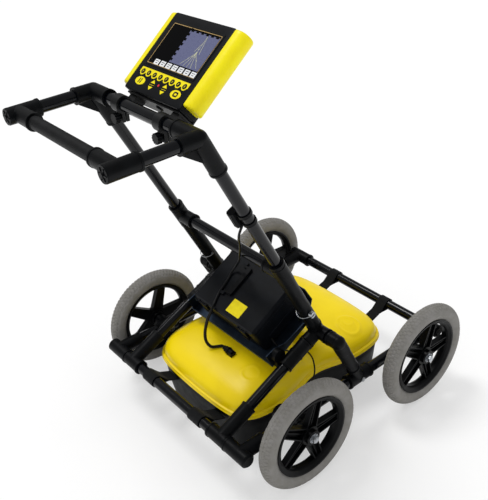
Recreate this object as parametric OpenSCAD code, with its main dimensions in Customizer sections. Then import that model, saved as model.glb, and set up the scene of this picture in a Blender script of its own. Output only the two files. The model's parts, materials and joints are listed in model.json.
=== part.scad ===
// Ground penetrating radar cart: a push cart of round tubes on four wheels.
// It carries a radar sensor low between the wheels, a battery case in a tray
// and a display on its handle. Sizes are in millimetres. X points to the
// cart's right, Y forwards and Z up. The ground is at Z = 0, and the origin
// lies on it, under the middle of the whole cart.

/* [Wheels] */
// Outer radius of each tyre, which is also the height of the tube frame
tyre_r = 159; // [156:0.5:162]
// Width of each tyre
tyre_w = 46; // [42:1:48]
// Radius of the rim's edge
rim_r = 117; // [112:0.5:120]
// Distance from the left wheels' middle to the right wheels' middle
track_w = 699; // [696:1:704]
// Distance from the rear axles to the front axles
wheelbase = 455; // [450:1:462]
// Number of spokes in each wheel
spoke_n = 5; // [4:1:6]
// Radius of the wheel axles
axle_r = 6; // [5.5:0.25:6.5]

/* [Tube frame] */
// Outer radius of every frame tube
tube_r = 15; // [14:0.25:15.5]
// Wall of every frame tube
tube_wall = 2.5; // [2:0.25:3]
// Outer radius of the moulded fittings
fit_r = 20; // [19:0.25:20.5]
// Distance from the middle to each side rail
rail_x = 286; // [284:1:288]
// Distance from the middle to each upright
upright_x = 208.7; // [206:0.1:210]
// Distance the rear crossbar lies behind the middle of the wheelbase
rear_reach = 400; // [396:1:404]
// Distance the front crossbar lies ahead of the middle of the wheelbase
front_reach = 342; // [338:1:346]
// Height of the joint where the struts and uprights meet
hinge_z = 320; // [318:1:322]
// Angle of the uprights from the ground
upright_angle = 63.8; // [63.4:0.1:64.2]
// Length of the lower sleeves that hold the uprights
sleeve_l = 312; // [306:1:316]

/* [Handle] */
// Height of the handle tubes
handle_z = 982; // [976:1:988]
// Distance from the display's cross tube back to the grip bar
grip_reach = 191.8; // [188:0.2:196]
// Radius of the grip bar with its cover
grip_r = 15.8; // [15:0.1:16]

/* [Display] */
// Angle of the display's face from level, as it stands
display_tilt = 38.65; // [36:0.25:41]
// Half of the display's width without its side grips
display_half_w = 109; // [106:1:110]
// Thickness of the display
display_t = 58; // [54:1:60]
// Width of each rounded side grip
side_grip_w = 39; // [36:1:40]

/* [Sensor] */
// Half of the sensor's width
sensor_half_w = 222; // [216:1:222]
// Half of the sensor's length
sensor_half_l = 291; // [286:1:291]
// Height of the edge where the shell meets the base
sensor_edge_z = 150; // [146:1:152]
// Height of the shell above that edge
shell_h = 84; // [80:1:86]

/* [Battery case] */
// Width of the case
case_w = 260; // [254:1:264]
// Length of the case up the slope of the tray
case_l = 180; // [176:1:184]
// Thickness of the case with its lid
case_t = 98; // [94:1:100]
// Slope of the tray and the case
tray_slope = 30; // [28:0.5:31]

/* [Hidden] */
// Every sub-part, in the order in which they are drawn below

// Gap of a tube seated in its fitting
seat_gap = 0.05;
// Gap of a bearing or shaft that turns or slides
run_gap = 0.05;
// Shift from the middle of the wheelbase to the middle of the whole cart
mid_y = 109;

wheel_x = track_w / 2;
axle_y = [mid_y - wheelbase / 2, mid_y + wheelbase / 2];
base_z = tyre_r;
rear_bar_y = mid_y - rear_reach;
front_bar_y = mid_y + front_reach;
bar_end_x = rail_x + 22;
lip_r = fit_r + 1.3;
bore_r = tube_r + seat_gap;

// The joint of struts, uprights and legs, at the right side
hinge_y = mid_y - 53;
upright_dir = [0, -cos(upright_angle), sin(upright_angle)];
handle_y = hinge_y - (handle_z - hinge_z) / tan(upright_angle);
grip_y = handle_y - grip_reach;
upright_l = (handle_z - hinge_z) / sin(upright_angle);
brace_s = 267;
pin_s = 98;
strut_run = hinge_y - rear_bar_y;
strut_rise = hinge_z - base_z;
strut_l = sqrt(strut_run * strut_run + strut_rise * strut_rise);
strut_dir = [0, strut_run / strut_l, strut_rise / strut_l];
leg_foot_y = hinge_y + (hinge_z - base_z) / tan(upright_angle);

// Frame of the display: its centre line at the screen's lower edge
display_pos = [0, mid_y - 297.3, 1052.5];
// Lower end of the tray's floor, and the case that rests on it: middle of the lid's lower edge
floor_y = mid_y - 188;
floor_z = 251.2;
case_s = 22.4;
case_pos = [0, floor_y, floor_z] + case_s * [0, cos(tray_slope), sin(tray_slope)]
  + (case_t + 0.1) * [0, -sin(tray_slope), cos(tray_slope)];

function unit(v) = v / norm(v);
function at_s(x, s) = [x, hinge_y, hinge_z] + s * upright_dir;
function strut_at(x, d) = [x, rear_bar_y, base_z] + d * strut_dir;

// Round bar of radius r from point a to point b
module rod(a, b, r) {
  d = b - a;
  translate(a) rotate([0, acos(d[2] / norm(d)), atan2(d[1], d[0])]) cylinder(h = norm(d), r = r, $fn = 48);
}

// Straight tube from a to b
module tube(a, b, r = tube_r, wall = tube_wall) {
  d = unit(b - a);
  difference() {
    rod(a, b, r);
    rod(a - d, b + d, r - wall);
  }
}

// Socket of a fitting from a to its mouth at b, with a thicker lip at the mouth
module socket(a, b) {
  d = unit(b - a);
  rod(a, b, fit_r);
  rod(b - 5 * d, b, lip_r);
}

// Bore for a tube, run through the mouth at b by one millimetre
module bore(a, b, r = bore_r) {
  rod(a, b + unit(b - a), r);
}

// The child at the right and its mirror image at the left
module both_sides() {
  children();
  mirror([1, 0, 0]) children();
}

module ball(p, r) {
  translate(p) sphere(r = r, $fn = 48);
}

// Rectangle with round corners, drawn from plain shapes
module round_rect(w, h, r) {
  square([w - 2 * r, h], center = true);
  square([w, h - 2 * r], center = true);
  for (x = [-1, 1], y = [-1, 1]) translate([x * (w / 2 - r), y * (h / 2 - r)]) circle(r = r, $fn = 32);
}

// Box with round upright edges, standing on z = 0, its top and bottom edges cut off by c millimetres
module soft_box(w, l, h, r, c) {
  cut = c * sqrt(2);
  difference() {
    linear_extrude(height = h) round_rect(w, l, r);
    for (z = [0, h], side = [-1, 1]) {
      translate([side * w / 2, 0, z]) rotate([0, 45, 0]) cube([cut, 2 * l, cut], center = true);
      translate([0, side * l / 2, z]) rotate([45, 0, 0]) cube([2 * w, cut, cut], center = true);
    }
  }
}

// Bolt with a round head: the head's seat at p, the shank along d
module bolt(p, d, shank_l, shank_r = 3, head_r = 6.5, head_h = 3.5) {
  rod(p - head_h * d, p, head_r);
  rod(p - 0.01 * d, p + shank_l * d, shank_r);
}

// Tube sweeps for the cables

function curve_point(p, i, t) =
  let (n = len(p), a = p[max(i - 1, 0)], b = p[i], c = p[i + 1], d = p[min(i + 2, n - 1)])
  0.5 * (2 * b + (c - a) * t + (2 * a - 5 * b + 4 * c - d) * t * t + (3 * b - a - 3 * c + d) * t * t * t);
function curve(p, k) =
  concat([for (i = [0 : len(p) - 2], j = [0 : k - 1]) curve_point(p, i, j / k)], [p[len(p) - 1]]);

// Round cord of radius r through the points p, with k steps between two points
module cord(p, r, k, up) {
  c = curve(p, k);
  m = len(c);
  sides = 10;
  ring = [for (i = [0 : m - 1])
    let (t = unit(c[min(i + 1, m - 1)] - c[max(i - 1, 0)]), u = unit(cross(t, up)), v = cross(t, u))
    for (j = [0 : sides - 1]) c[i] + r * (cos(360 * j / sides) * u + sin(360 * j / sides) * v)];
  quads = [for (i = [0 : m - 2], j = [0 : sides - 1])
    [i * sides + j, i * sides + (j + 1) % sides, (i + 1) * sides + (j + 1) % sides, (i + 1) * sides + j]];
  ends = [[for (j = [sides - 1 : -1 : 0]) j], [for (j = [0 : sides - 1]) (m - 1) * sides + j]];
  polyhedron(points = ring, faces = concat(quads, ends), convexity = 6);
}

// Base frame

module rear_crossbar() color("#26282b")
  tube([-bar_end_x, rear_bar_y, base_z], [bar_end_x, rear_bar_y, base_z]);

module front_crossbar() color("#26282b")
  tube([-bar_end_x, front_bar_y, base_z], [bar_end_x, front_bar_y, base_z]);

module side_rails() color("#26282b") both_sides()
  difference() {
    tube([rail_x, rear_bar_y + fit_r, base_z], [rail_x, front_bar_y - fit_r, base_z]);
    for (y = axle_y) rod([rail_x - 30, y, base_z], [rail_x + 30, y, base_z], axle_r + seat_gap);
    rod([rail_x - 30, leg_foot_y, base_z], [rail_x + 30, leg_foot_y, base_z], 3 + seat_gap);
  }

// Corner tee: its run lies on a crossbar with a closed outer end, its branch holds a rail
module corner_tee(y, into) {
  c = [rail_x, y, base_z];
  mouth = c + [0, into * 75, 0];
  difference() {
    union() {
      rod(c - [51, 0, 0], c + [29, 0, 0], fit_r);
      rod(c - [51, 0, 0], c - [46, 0, 0], lip_r);
      translate(c + [29, 0, 0]) rotate([0, 90, 0]) cylinder(h = 5, r1 = fit_r, r2 = fit_r - 5, $fn = 48);
      socket(c, mouth);
    }
    rod(c - [60, 0, 0], c + [bar_end_x - rail_x + 0.3, 0, 0], bore_r);
    bore(c + [0, into * (fit_r - 0.3), 0], mouth);
  }
}

// Tee on the rear crossbar that holds the foot of a strut
module strut_tee() {
  c = [upright_x, rear_bar_y, base_z];
  difference() {
    union() {
      rod(c - [42, 0, 0], c + [24, 0, 0], fit_r);
      rod(c - [42, 0, 0], c - [37, 0, 0], lip_r);
      socket(c, strut_at(upright_x, 108));
    }
    rod(c - [50, 0, 0], c + [30, 0, 0], bore_r);
    bore(strut_at(upright_x, fit_r - 0.3), strut_at(upright_x, 108));
  }
}

module base_fittings() color("#1f2123") both_sides() {
  corner_tee(rear_bar_y, 1);
  corner_tee(front_bar_y, -1);
  strut_tee();
}

module rear_struts() color("#202225") both_sides()
  tube(strut_at(upright_x, fit_r), strut_at(upright_x, strut_l - fit_r));

// Joint where a strut, a sleeve and the cross branch to a leg meet
module hinge_fittings() color("#1f2123") both_sides() {
  c = [upright_x, hinge_y, hinge_z];
  difference() {
    union() {
      ball(c, fit_r + 1);
      socket(c, strut_at(upright_x, strut_l - 44));
      socket(c, at_s(upright_x, 32));
      socket(c, c + [40, 0, 0]);
      rod(c, [rail_x - fit_r - 0.5, hinge_y, hinge_z], tube_r);
      rod(c - [26, 0, 0], c, 13);
    }
    bore(strut_at(upright_x, strut_l - fit_r + 0.3), strut_at(upright_x, strut_l - 44));
    bore(at_s(upright_x, 20), at_s(upright_x, 32), 15.6);
    rod(c - [30, 0, 0], c - [20.3, 0, 0], 4.05);
  }
}

// Elbow, leg and rail tee in one moulding
module legs() color("#1f2123") both_sides() {
  top = [rail_x, hinge_y, hinge_z];
  foot = [rail_x, leg_foot_y, base_z];
  difference() {
    union() {
      ball(top, fit_r + 0.5);
      rod(top, foot, fit_r - 1);
      rod(top, top - 44 * upright_dir, fit_r);
      rod(foot, foot + 52 * upright_dir, fit_r);
      rod(foot + 47 * upright_dir, foot + 52 * upright_dir, lip_r);
      socket(top, [rail_x - 30, hinge_y, hinge_z]);
      rod(foot - [0, 42, 0], foot + [0, 42, 0], fit_r);
      rod(foot - [0, 42, 0], foot - [0, 37, 0], lip_r);
      rod(foot + [0, 37, 0], foot + [0, 42, 0], lip_r);
    }
    rod(foot - [0, 50, 0], foot + [0, 50, 0], bore_r);
    bore([rail_x - fit_r, hinge_y, hinge_z], [rail_x - 30, hinge_y, hinge_z]);
    rod([rail_x - 40, leg_foot_y, base_z], [rail_x + 40, leg_foot_y, base_z], 3 + seat_gap);
  }
}

// Axles

mount_end_x = wheel_x - 22.8;
module axle_mounts() color("#1f2123") both_sides()
  for (y = axle_y) {
    c = [rail_x, y, base_z];
    difference() {
      union() {
        rod(c - [0, 30, 0], c + [0, 30, 0], fit_r + 3);
        rod(c - [0, 34, 0], c + [0, 34, 0], fit_r);
        rod(c, [mount_end_x, y, base_z], 16);
        rod(c, c + [30, 0, 0], 19);
        rod(c - [fit_r + 5, 0, 0], c, 13);
      }
      rod(c - [0, 40, 0], c + [0, 40, 0], bore_r);
      rod(c - [40, 0, 0], [wheel_x, y, base_z], axle_r + seat_gap);
    }
  }

module axles() color("#b8bbbe") both_sides()
  for (y = axle_y) {
    rod([rail_x - fit_r - 6, y, base_z], [wheel_x + 33, y, base_z], axle_r);
    translate([rail_x - fit_r - 12.05, y, base_z]) rotate([0, 90, 0]) cylinder(h = 7, r = 10.5, $fn = 6);
  }

// A hexagonal nut over a washer with pointed teeth at each axle's outer end
module axle_nuts() color("#c9cbce") both_sides()
  for (y = axle_y) translate([wheel_x + 22.8, y, base_z]) rotate([0, 90, 0])
    difference() {
      union() {
        for (a = [0 : 45 : 315]) rotate(a) linear_extrude(height = 1.8) polygon([[0, -6], [15, 0], [0, 6]]);
        translate([0, 0, 1.8]) cylinder(h = 7.5, r = 10, $fn = 6);
      }
      translate([0, 0, -1]) cylinder(h = 12, r = axle_r + seat_gap, $fn = 48);
    }

// Two ball bearings stand in each wheel hub
module wheel_bearings() color("#9a9da1") both_sides()
  for (y = axle_y, x = [wheel_x - 22.6, wheel_x + 14.6]) translate([x, y, base_z]) rotate([0, 90, 0])
    difference() {
      cylinder(h = 8, r = 14, $fn = 48);
      translate([0, 0, -1]) cylinder(h = 10, r = axle_r + seat_gap, $fn = 48);
    }

// Wheels, drawn with the axle along Z and the outer face up

rim_section = [
  [rim_r, 18], [rim_r, 14.8], [rim_r - 9, 13], [rim_r - 13, 6], [rim_r - 13, -6], [rim_r - 9, -13],
  [rim_r, -14.8], [rim_r, -18], [rim_r - 5, -18], [rim_r - 14, -12], [rim_r - 17, -6], [rim_r - 17, 6],
  [rim_r - 14, 12], [rim_r - 5, 18]];

// A strip from the hub to the rim between two half widths at its inner and outer end
module strip(inner_low, inner_high, outer_low, outer_high) {
  outer = rim_r - 14.6;
  polygon([[17, inner_low], [outer, outer_low], [outer, outer_high], [17, inner_high]]);
}
// All spokes: thin webs that narrow outwards, two ribs near the edges of each and a rib along its middle
module spokes() {
  translate([0, 0, -9]) linear_extrude(height = 5)
    for (i = [0 : spoke_n - 1]) rotate(90 + i * 360 / spoke_n) strip(-19.2, 19.2, -14, 14);
  translate([0, 0, -6]) linear_extrude(height = 14)
    for (i = [0 : spoke_n - 1], side = [-1, 1]) rotate(90 + i * 360 / spoke_n)
      strip(side * 18.8, side * 15.4, side * 13.6, side * 10.4);
  translate([0, 0, -6.5]) linear_extrude(height = 9.5)
    for (i = [0 : spoke_n - 1]) rotate(90 + i * 360 / spoke_n) strip(-1.6, 1.6, -1.6, 1.6);
}
module rim() {
  hub_h = 22;
  difference() {
    union() {
      rotate_extrude($fn = 96) polygon(rim_section);
      translate([0, 0, -hub_h]) cylinder(h = 2 * hub_h, r = 21, $fn = 64);
      translate([0, 0, -12]) cylinder(h = 22, r = 27, $fn = 64);
      spokes();
    }
    translate([0, 0, -hub_h - 1]) cylinder(h = 2 * hub_h + 2, r = 11, $fn = 64);
    translate([0, 0, hub_h - 7.4]) cylinder(h = 10, r = 14 + run_gap, $fn = 64);
    translate([0, 0, -hub_h - 2.6]) cylinder(h = 10, r = 14 + run_gap, $fn = 64);
  }
}

// Tyre section: a round crown that runs into two beads seated between the rim's edges
crown_c = tyre_r - tyre_w / 2;
tyre_section = concat(
  [[rim_r - 8.6, -12.5], [rim_r + 1.2, -14.3]],
  [for (a = [-120 : 12 : 120]) [crown_c + tyre_w / 2 * cos(a), tyre_w / 2 * sin(a)]],
  [[rim_r + 1.2, 14.3], [rim_r - 8.6, 12.5]]);

module tyre() {
  difference() {
    rotate_extrude($fn = 96) polygon(tyre_section);
    for (z = [-9, 0, 9]) translate([0, 0, z - 0.8]) difference() {
      cylinder(h = 1.6, r = tyre_r + 1, $fn = 96);
      translate([0, 0, -1]) cylinder(h = 4, r = tyre_r - 2 - abs(z) * 0.23, $fn = 96);
    }
  }
}

// Places a wheel piece: right is 1 or -1, axle is 0 at the rear and 1 at the front
module at_wheel(right, axle) {
  translate([right * wheel_x, axle_y[axle], base_z]) rotate([0, right * 90, 0]) children();
}

module tyre_rear_left() color("#6f6c66") at_wheel(-1, 0) tyre();
module tyre_rear_right() color("#6f6c66") at_wheel(1, 0) tyre();
module tyre_front_left() color("#6f6c66") at_wheel(-1, 1) tyre();
module tyre_front_right() color("#6f6c66") at_wheel(1, 1) tyre();
module rim_rear_left() color("#1b1c1e") at_wheel(-1, 0) rim();
module rim_rear_right() color("#1b1c1e") at_wheel(1, 0) rim();
module rim_front_left() color("#1b1c1e") at_wheel(-1, 1) rim();
module rim_front_right() color("#1b1c1e") at_wheel(1, 1) rim();

// Uprights and handle

// Lower sleeve with a tee branch for the mid crossbar and a cross bore for the lock pin
module sleeves() color("#232528") both_sides()
  difference() {
    union() {
      rod(at_s(upright_x, 21), at_s(upright_x, 34), 15.5);
      rod(at_s(upright_x, 32.1), at_s(upright_x, sleeve_l), fit_r - 0.5);
      rod(at_s(upright_x, sleeve_l - 7), at_s(upright_x, sleeve_l), lip_r);
      rod(at_s(upright_x, brace_s - 32), at_s(upright_x, brace_s + 32), fit_r + 0.6);
      rod(at_s(upright_x, brace_s), at_s(upright_x - 56, brace_s), fit_r);
      rod(at_s(upright_x - 51, brace_s), at_s(upright_x - 56, brace_s), lip_r);
    }
    rod(at_s(upright_x, 66), at_s(upright_x, sleeve_l + 5), bore_r);
    rod(at_s(upright_x - fit_r + 1, brace_s), at_s(upright_x - 70, brace_s), bore_r);
    rod(at_s(upright_x - 40, pin_s), at_s(upright_x + 40, pin_s), pin_r + run_gap);
  }

module mid_crossbar() color("#26282b")
  tube(at_s(-upright_x + fit_r, brace_s), at_s(upright_x - fit_r, brace_s));

module uprights() color("#2a2c2f") both_sides()
  difference() {
    tube(at_s(upright_x, 70), at_s(upright_x, upright_l - fit_r));
    rod(at_s(upright_x - 40, pin_s), at_s(upright_x + 40, pin_s), pin_r + run_gap);
  }

// Handle corner: sockets for the upright, the side tube and the display's cross tube, with a web
module handle_corner() {
  c = [upright_x, handle_y, handle_z];
  rear = c - [0, 52, 0];
  low = at_s(upright_x, upright_l - 97);
  inner = c - [75, 0, 0];
  difference() {
    union() {
      ball(c, fit_r);
      socket(c, rear);
      socket(c, low);
      socket(c, inner);
      translate([upright_x - 3, 0, 0]) rotate([90, 0, 90]) linear_extrude(height = 6)
        polygon([
          [handle_y, handle_z - 8], [handle_y - 46, handle_z - 12],
          [handle_y - 46, handle_z - 22], [low[1] - 12, low[2] + 14], [low[1], low[2] + 10]]);
    }
    bore(c - [0, fit_r - 0.3, 0], rear);
    bore(at_s(upright_x, upright_l - fit_r + 0.3), low);
    bore(c - [fit_r - 0.3, 0, 0], inner);
  }
}

// Tee at the end of the grip bar, closed at the back by a ribbed round plug
module handle_tee() {
  c = [upright_x, grip_y, handle_z];
  difference() {
    union() {
      socket(c - [0, 28, 0], c + [0, 50, 0]);
      socket(c, c - [78, 0, 0]);
    }
    bore(c - [0, 31, 0], c + [0, 50, 0]);
    bore(c - [fit_r - 0.3, 0, 0], c - [78, 0, 0], grip_r + seat_gap);
  }
}

module end_plug() {
  c = [upright_x, grip_y - 28, handle_z];
  rod(c, c + [0, 9, 0], tube_r);
  rod(c - [0, 2.5, 0], c, fit_r - 1);
  for (a = [0 : 60 : 120]) translate(c - [0, 3.2, 0]) rotate([0, a, 0]) cube([30, 2, 3], center = true);
  rod(c - [0, 6, 0], c, 5);
}

module handle_fittings() color("#1f2123") both_sides() {
  handle_corner();
  handle_tee();
  end_plug();
}

module side_tubes() color("#202225") both_sides()
  tube([upright_x, handle_y - fit_r, handle_z], [upright_x, grip_y - 18, handle_z]);

module grip_bar() color("#2b2c2e")
  tube([-upright_x + fit_r, grip_y, handle_z], [upright_x - fit_r, grip_y, handle_z], grip_r, 3.5);

module display_crossbar() color("#26282b")
  tube([-upright_x + fit_r, handle_y, handle_z], [upright_x - fit_r, handle_y, handle_z]);

// Fasteners

tray_half_w = 176;
sheet_t = 2;
ear_pos = [tray_half_w + 0.1, mid_y - 176, 290];
module frame_bolts() color("#c3c6c9") both_sides() {
  bolt([rail_x + fit_r + 0.2, leg_foot_y, base_z], [-1, 0, 0], 2 * fit_r + 3, 3, 6.5, 3);
  translate([rail_x - fit_r - 5.2, leg_foot_y, base_z]) rotate([0, 90, 0]) cylinder(h = 5, r = 5.8, $fn = 6);
  bolt([upright_x - 26.2, hinge_y, hinge_z], [1, 0, 0], 5.8, 4, 8, 3);
  bolt([ear_pos[0] - sheet_t - 0.2, ear_pos[1], ear_pos[2]], [1, 0, 0], 14, 3, 7, 3);
}

// Straps that tow the sensor

strap_x = 108;
// Webbing loop round a crossbar and the strap that runs from it to the point q
module strap(y, half_w, q) {
  difference() {
    rod([strap_x - half_w, y, base_z], [strap_x + half_w, y, base_z], fit_r - 0.4);
    rod([strap_x - half_w - 1, y, base_z], [strap_x + half_w + 1, y, base_z], tube_r + 0.3);
  }
  d = q - [strap_x, y, base_z];
  translate([strap_x - half_w, y, base_z]) rotate([atan2(d[2], d[1]), 0, 0])
    translate([0, tube_r + 2, -2]) cube([2 * half_w, norm([d[1], d[2]]) - tube_r - 2, 4]);
}

module tow_straps() color("#161718") both_sides() {
  strap(front_bar_y, 17, [strap_x, sensor_y + sensor_half_l - 9, sensor_edge_z - 26]);
  strap(rear_bar_y, 24, [strap_x, sensor_y - sensor_half_l + 8.4, sensor_edge_z - 26]);
}

// Battery tray

// Collar round a strut with a round ear that the tray is bolted to
module tray_clips() color("#1b1c1e") both_sides() {
  difference() {
    union() {
      rod(strut_at(upright_x, strut_l - 134), strut_at(upright_x, strut_l - 47), fit_r);
      for (d = [134, 91, 52])
        rod(strut_at(upright_x, strut_l - d), strut_at(upright_x, strut_l - d + 5), lip_r);
      rod(ear_pos, [upright_x - 16, ear_pos[1], ear_pos[2]], 19);
      translate(ear_pos - [0, 10, 34]) cube([16, 30, 34]);
    }
    rod(strut_at(upright_x, strut_l - 150), strut_at(upright_x, strut_l - 30), bore_r);
    rod(ear_pos - [10, 0, 0], ear_pos + [12.5, 0, 0], 3 + seat_gap);
  }
}

// Sheet metal trough: rear wall, sloping floor, low front wall and two side walls with holes
floor_l = 216;
module battery_tray() color("#3d4a5c")
  translate([0, floor_y, floor_z]) rotate([tray_slope, 0, 0]) difference() {
    union() {
      translate([-tray_half_w, 0, -sheet_t]) cube([2 * tray_half_w, floor_l, sheet_t]);
      translate([-tray_half_w, 0, -sheet_t]) rotate([88, 0, 0]) translate([0, 0, -sheet_t])
        cube([2 * tray_half_w, 54, sheet_t]);
      translate([-tray_half_w, floor_l - sheet_t, -sheet_t]) cube([2 * tray_half_w, sheet_t, 20]);
      for (x = [-tray_half_w, tray_half_w - sheet_t]) translate([x, 0, -sheet_t]) rotate([90, 0, 90])
        linear_extrude(height = sheet_t)
          polygon([[0, 0], [floor_l, 0], [floor_l, 14], [70, 22], [34, 46], [4, 50]]);
    }
    for (x = [-60, 60], y = [50, 140]) translate([x, y, -5]) cylinder(h = 10, r = 12, $fn = 48);
    translate([157, 54, -5]) cylinder(h = 10, r = 9, $fn = 48);
    rotate([-tray_slope, 0, 0]) rod([-200, ear_pos[1] - floor_y, ear_pos[2] - floor_z],
      [200, ear_pos[1] - floor_y, ear_pos[2] - floor_z], 3 + seat_gap);
  }

// Battery case, drawn with its lid's top in the plane z = 0

lid_t = 18;
case_wall = 4;
module at_case() translate(case_pos) rotate([tray_slope, 0, 0]) children();

// The case as one round-edged block, and the room inside it
module case_block() translate([0, case_l / 2, -case_t]) soft_box(case_w, case_l, case_t, 14, 6);
module case_room() translate([0, case_l / 2, -case_t + case_wall])
  soft_box(case_w - 2 * case_wall, case_l - 2 * case_wall, case_t - 2 * case_wall, 10, 3);
hinge_s = case_l + 4.5;

module case_base() color("#2c2f33") at_case() {
  difference() {
    intersection() {
      case_block();
      translate([-200, -50, -case_t - 10]) cube([400, 300, case_t + 10 - lid_t - 0.3]);
    }
    case_room();
  }
  for (x = [-1, 1]) translate([x * 86, 0.3, -lid_t - 30]) cube([30, 5.6, 10], center = true);
  for (x = [-88, -30, 30, 88]) translate([x, case_l, -lid_t - 12]) hinge_knuckle(12);
  for (x = [-1, 1]) translate([x * (case_w / 2 - 1.2), case_l / 2, -62]) cube([5, 110, 5], center = true);
}

// Knuckle of the case's hinge, on the wall at the upper end
module hinge_knuckle(w) {
  difference() {
    union() {
      translate([-w / 2, 4.5, 8]) rotate([0, 90, 0]) cylinder(h = w, r = 4, $fn = 32);
      translate([-w / 2, -2, 1]) cube([w, 6.5, 7]);
    }
    translate([-w / 2 - 1, 4.5, 8]) rotate([0, 90, 0]) cylinder(h = w + 2, r = 1.5 + run_gap, $fn = 32);
  }
}

module lid_hinge_pin() color("#b8bbbe") at_case()
  for (x = [-59, 59]) rod([x - 37, hinge_s, -lid_t - 4], [x + 37, hinge_s, -lid_t - 4], 1.5);

module case_lid() color("#2c2f33") at_case() {
  difference() {
    union() {
      difference() {
        intersection() {
          case_block();
          translate([-200, -50, -lid_t]) cube([400, 300, lid_t + 10]);
        }
        case_room();
      }
      // Bosses for the handle's pivots
      for (s = handle_s) translate([handle_x, s, 0]) cube([13, 9, 12], center = true);
    }
    for (s = handle_s) rod([handle_x, s - 8, 2.6], [handle_x, s + 8, 2.6], 2 + run_gap);
  }
  // Knuckles between those of the base
  for (x = [-73, -45, 45, 73]) translate([x, case_l, -lid_t]) difference() {
    union() {
      translate([-6, 4.5, -4]) rotate([0, 90, 0]) cylinder(h = 12, r = 4, $fn = 32);
      translate([-6, -2, 0]) cube([12, 8, 5]);
      translate([-6, 2.5, -4]) cube([12, 4.5, 6]);
    }
    translate([-8, 4.5, -4]) rotate([0, 90, 0]) cylinder(h = 16, r = 1.5 + run_gap, $fn = 32);
  }
  // Ears for the latches
  for (x = [-86, 86], side = [-1, 1]) translate([x + side * 15.5, -1.5, -9]) difference() {
    cube([4, 9, 10], center = true);
    translate([-3, -2, 0]) rotate([0, 90, 0]) cylinder(h = 6, r = 1.5 + run_gap, $fn = 32);
  }
}

// Latch plate that hangs from the lid and closes over the base
latch_y = -3.5;
module case_latch(x) at_case() {
  rod([x - 17.2, latch_y, -9], [x + 17.2, latch_y, -9], 1.5);
  rod([x - 13, latch_y, -9], [x + 13, latch_y, -9], 3);
  translate([x - 13, latch_y - 3, -44]) cube([26, 3.6, 35]);
  translate([x - 13, latch_y - 6, -46]) cube([26, 4.5, 6]);
}

module case_latch_left() color("#1d1f21") case_latch(-86);
module case_latch_right() color("#1d1f21") case_latch(86);

// Carrying handle that lies flat on the lid and turns about its two pivots
handle_s = [52, 158];
handle_x = -44;
module case_handle() color("#1b1c1e") at_case() {
  for (s = handle_s) {
    inner = s < 100 ? 1 : -1;
    rod([handle_x, s - inner * 5.5, 2.6], [handle_x, s + inner * 8, 2.6], 2);
    translate([handle_x - 0.8, s + inner * 8 - 3.2, 0.8]) cube([28.8, 6.4, 4.8]);
  }
  translate([handle_x + 16, handle_s[0] + 8, 0.5]) cube([16, handle_s[1] - handle_s[0] - 16, 8]);
}

module battery() color("#3a3a3c") at_case()
  translate([-75, 22, -case_t + case_wall + 0.1]) cube([150, 95, 62]);

// Display, drawn with its face in the plane z = 0

module at_display() translate(display_pos) rotate([display_tilt, 0, 0]) children();

face_lo = -70;
face_hi = 144;
module display_outline(inset, h) linear_extrude(height = h)
  polygon([
    [-display_half_w + inset, face_lo + 12], [-display_half_w + 26, face_lo + inset],
    [display_half_w - 26, face_lo + inset], [display_half_w - inset, face_lo + 12],
    [display_half_w - inset, face_hi - 16], [display_half_w - 30, face_hi - inset],
    [-display_half_w + 30, face_hi - inset], [-display_half_w + inset, face_hi - 16]]);

module display_housing() color("#17181a") at_display() {
  difference() {
    union() {
      translate([0, 0, -display_t]) display_outline(6, 8);
      translate([0, 0, -display_t + 8]) display_outline(0, display_t - 8);
      // Raised frame round the screen
      translate([0, 60.5, 0]) linear_extrude(height = 1.6) difference() {
        square([187.4, 121], center = true);
        square([178, 112], center = true);
      }
    }
    // Room for the electronics and the seat of the screen
    translate([0, 35, -display_t + 4]) linear_extrude(height = display_t - 13)
      square([200, 190], center = true);
    translate([0, 60.5, -6.5]) linear_extrude(height = 10) square([178.2, 112.2], center = true);
  }
  // Domed cap at the lower edge
  translate([10, face_lo + 2, -30]) rotate([90, 0, 0]) cylinder(h = 8, r = 9, $fn = 48);
  translate([10, face_lo - 6, -30]) rotate([90, 0, 0]) cylinder(h = 3, r1 = 9, r2 = 5, $fn = 48);
}

module screen() color("#2a3a44") at_display()
  translate([0, 60.5, -6]) linear_extrude(height = 6.6) square([177.8, 111.8], center = true);

// Membrane with the domes of its keys standing slightly proud
key_x = [-79.7, -57, -34.2, -11.4, 11.4, 34.2, 57, 79.7];
module keypad() color("#f3e500") at_display() translate([0, 0, 0.05]) {
  linear_extrude(height = 0.6) {
    translate([0, -15]) square([183, 14], center = true);
    for (x = key_x) translate([x, -18.5]) circle(r = 9.5, $fn = 48);
    for (x = [-68.6, 68.6]) translate([x, -42]) scale([1, 0.7]) circle(r = 15, $fn = 48);
    for (x = [-22.9, 22.9], y = [-34, -50]) translate([x, y]) square([16, 9], center = true);
  }
  for (x = key_x) translate([x, -16.7, 0.3]) cylinder(h = 1, r = 6.2, $fn = 48);
  for (y = [-34, -50], x = [-22.9, 22.9]) translate([x, y, 0.3]) cylinder(h = 0.9, r = 3.6, $fn = 48);
}

// Half-round yellow cheek at each side
module display_grips() color("#ffe800") at_display() both_sides()
  translate([display_half_w + 0.1, 0, -display_t / 2]) intersection() {
    translate([0, (face_lo + face_hi) / 2, 0]) rotate([90, 0, 0]) linear_extrude(height = 400, center = true)
      intersection() {
        scale([side_grip_w / (display_t / 2 + 1), 1]) circle(r = display_t / 2 + 1, $fn = 64);
        translate([0, -50]) square([100, 100]);
      }
    translate([0, 0, -60]) linear_extrude(height = 120)
      polygon([[0, face_lo + 13], [22, face_lo + 15], [38, face_lo + 34], [40, face_lo + 50],
        [40, face_hi - 56], [37, face_hi - 34], [20, face_hi - 19], [0, face_hi - 17]]);
  }

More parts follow.
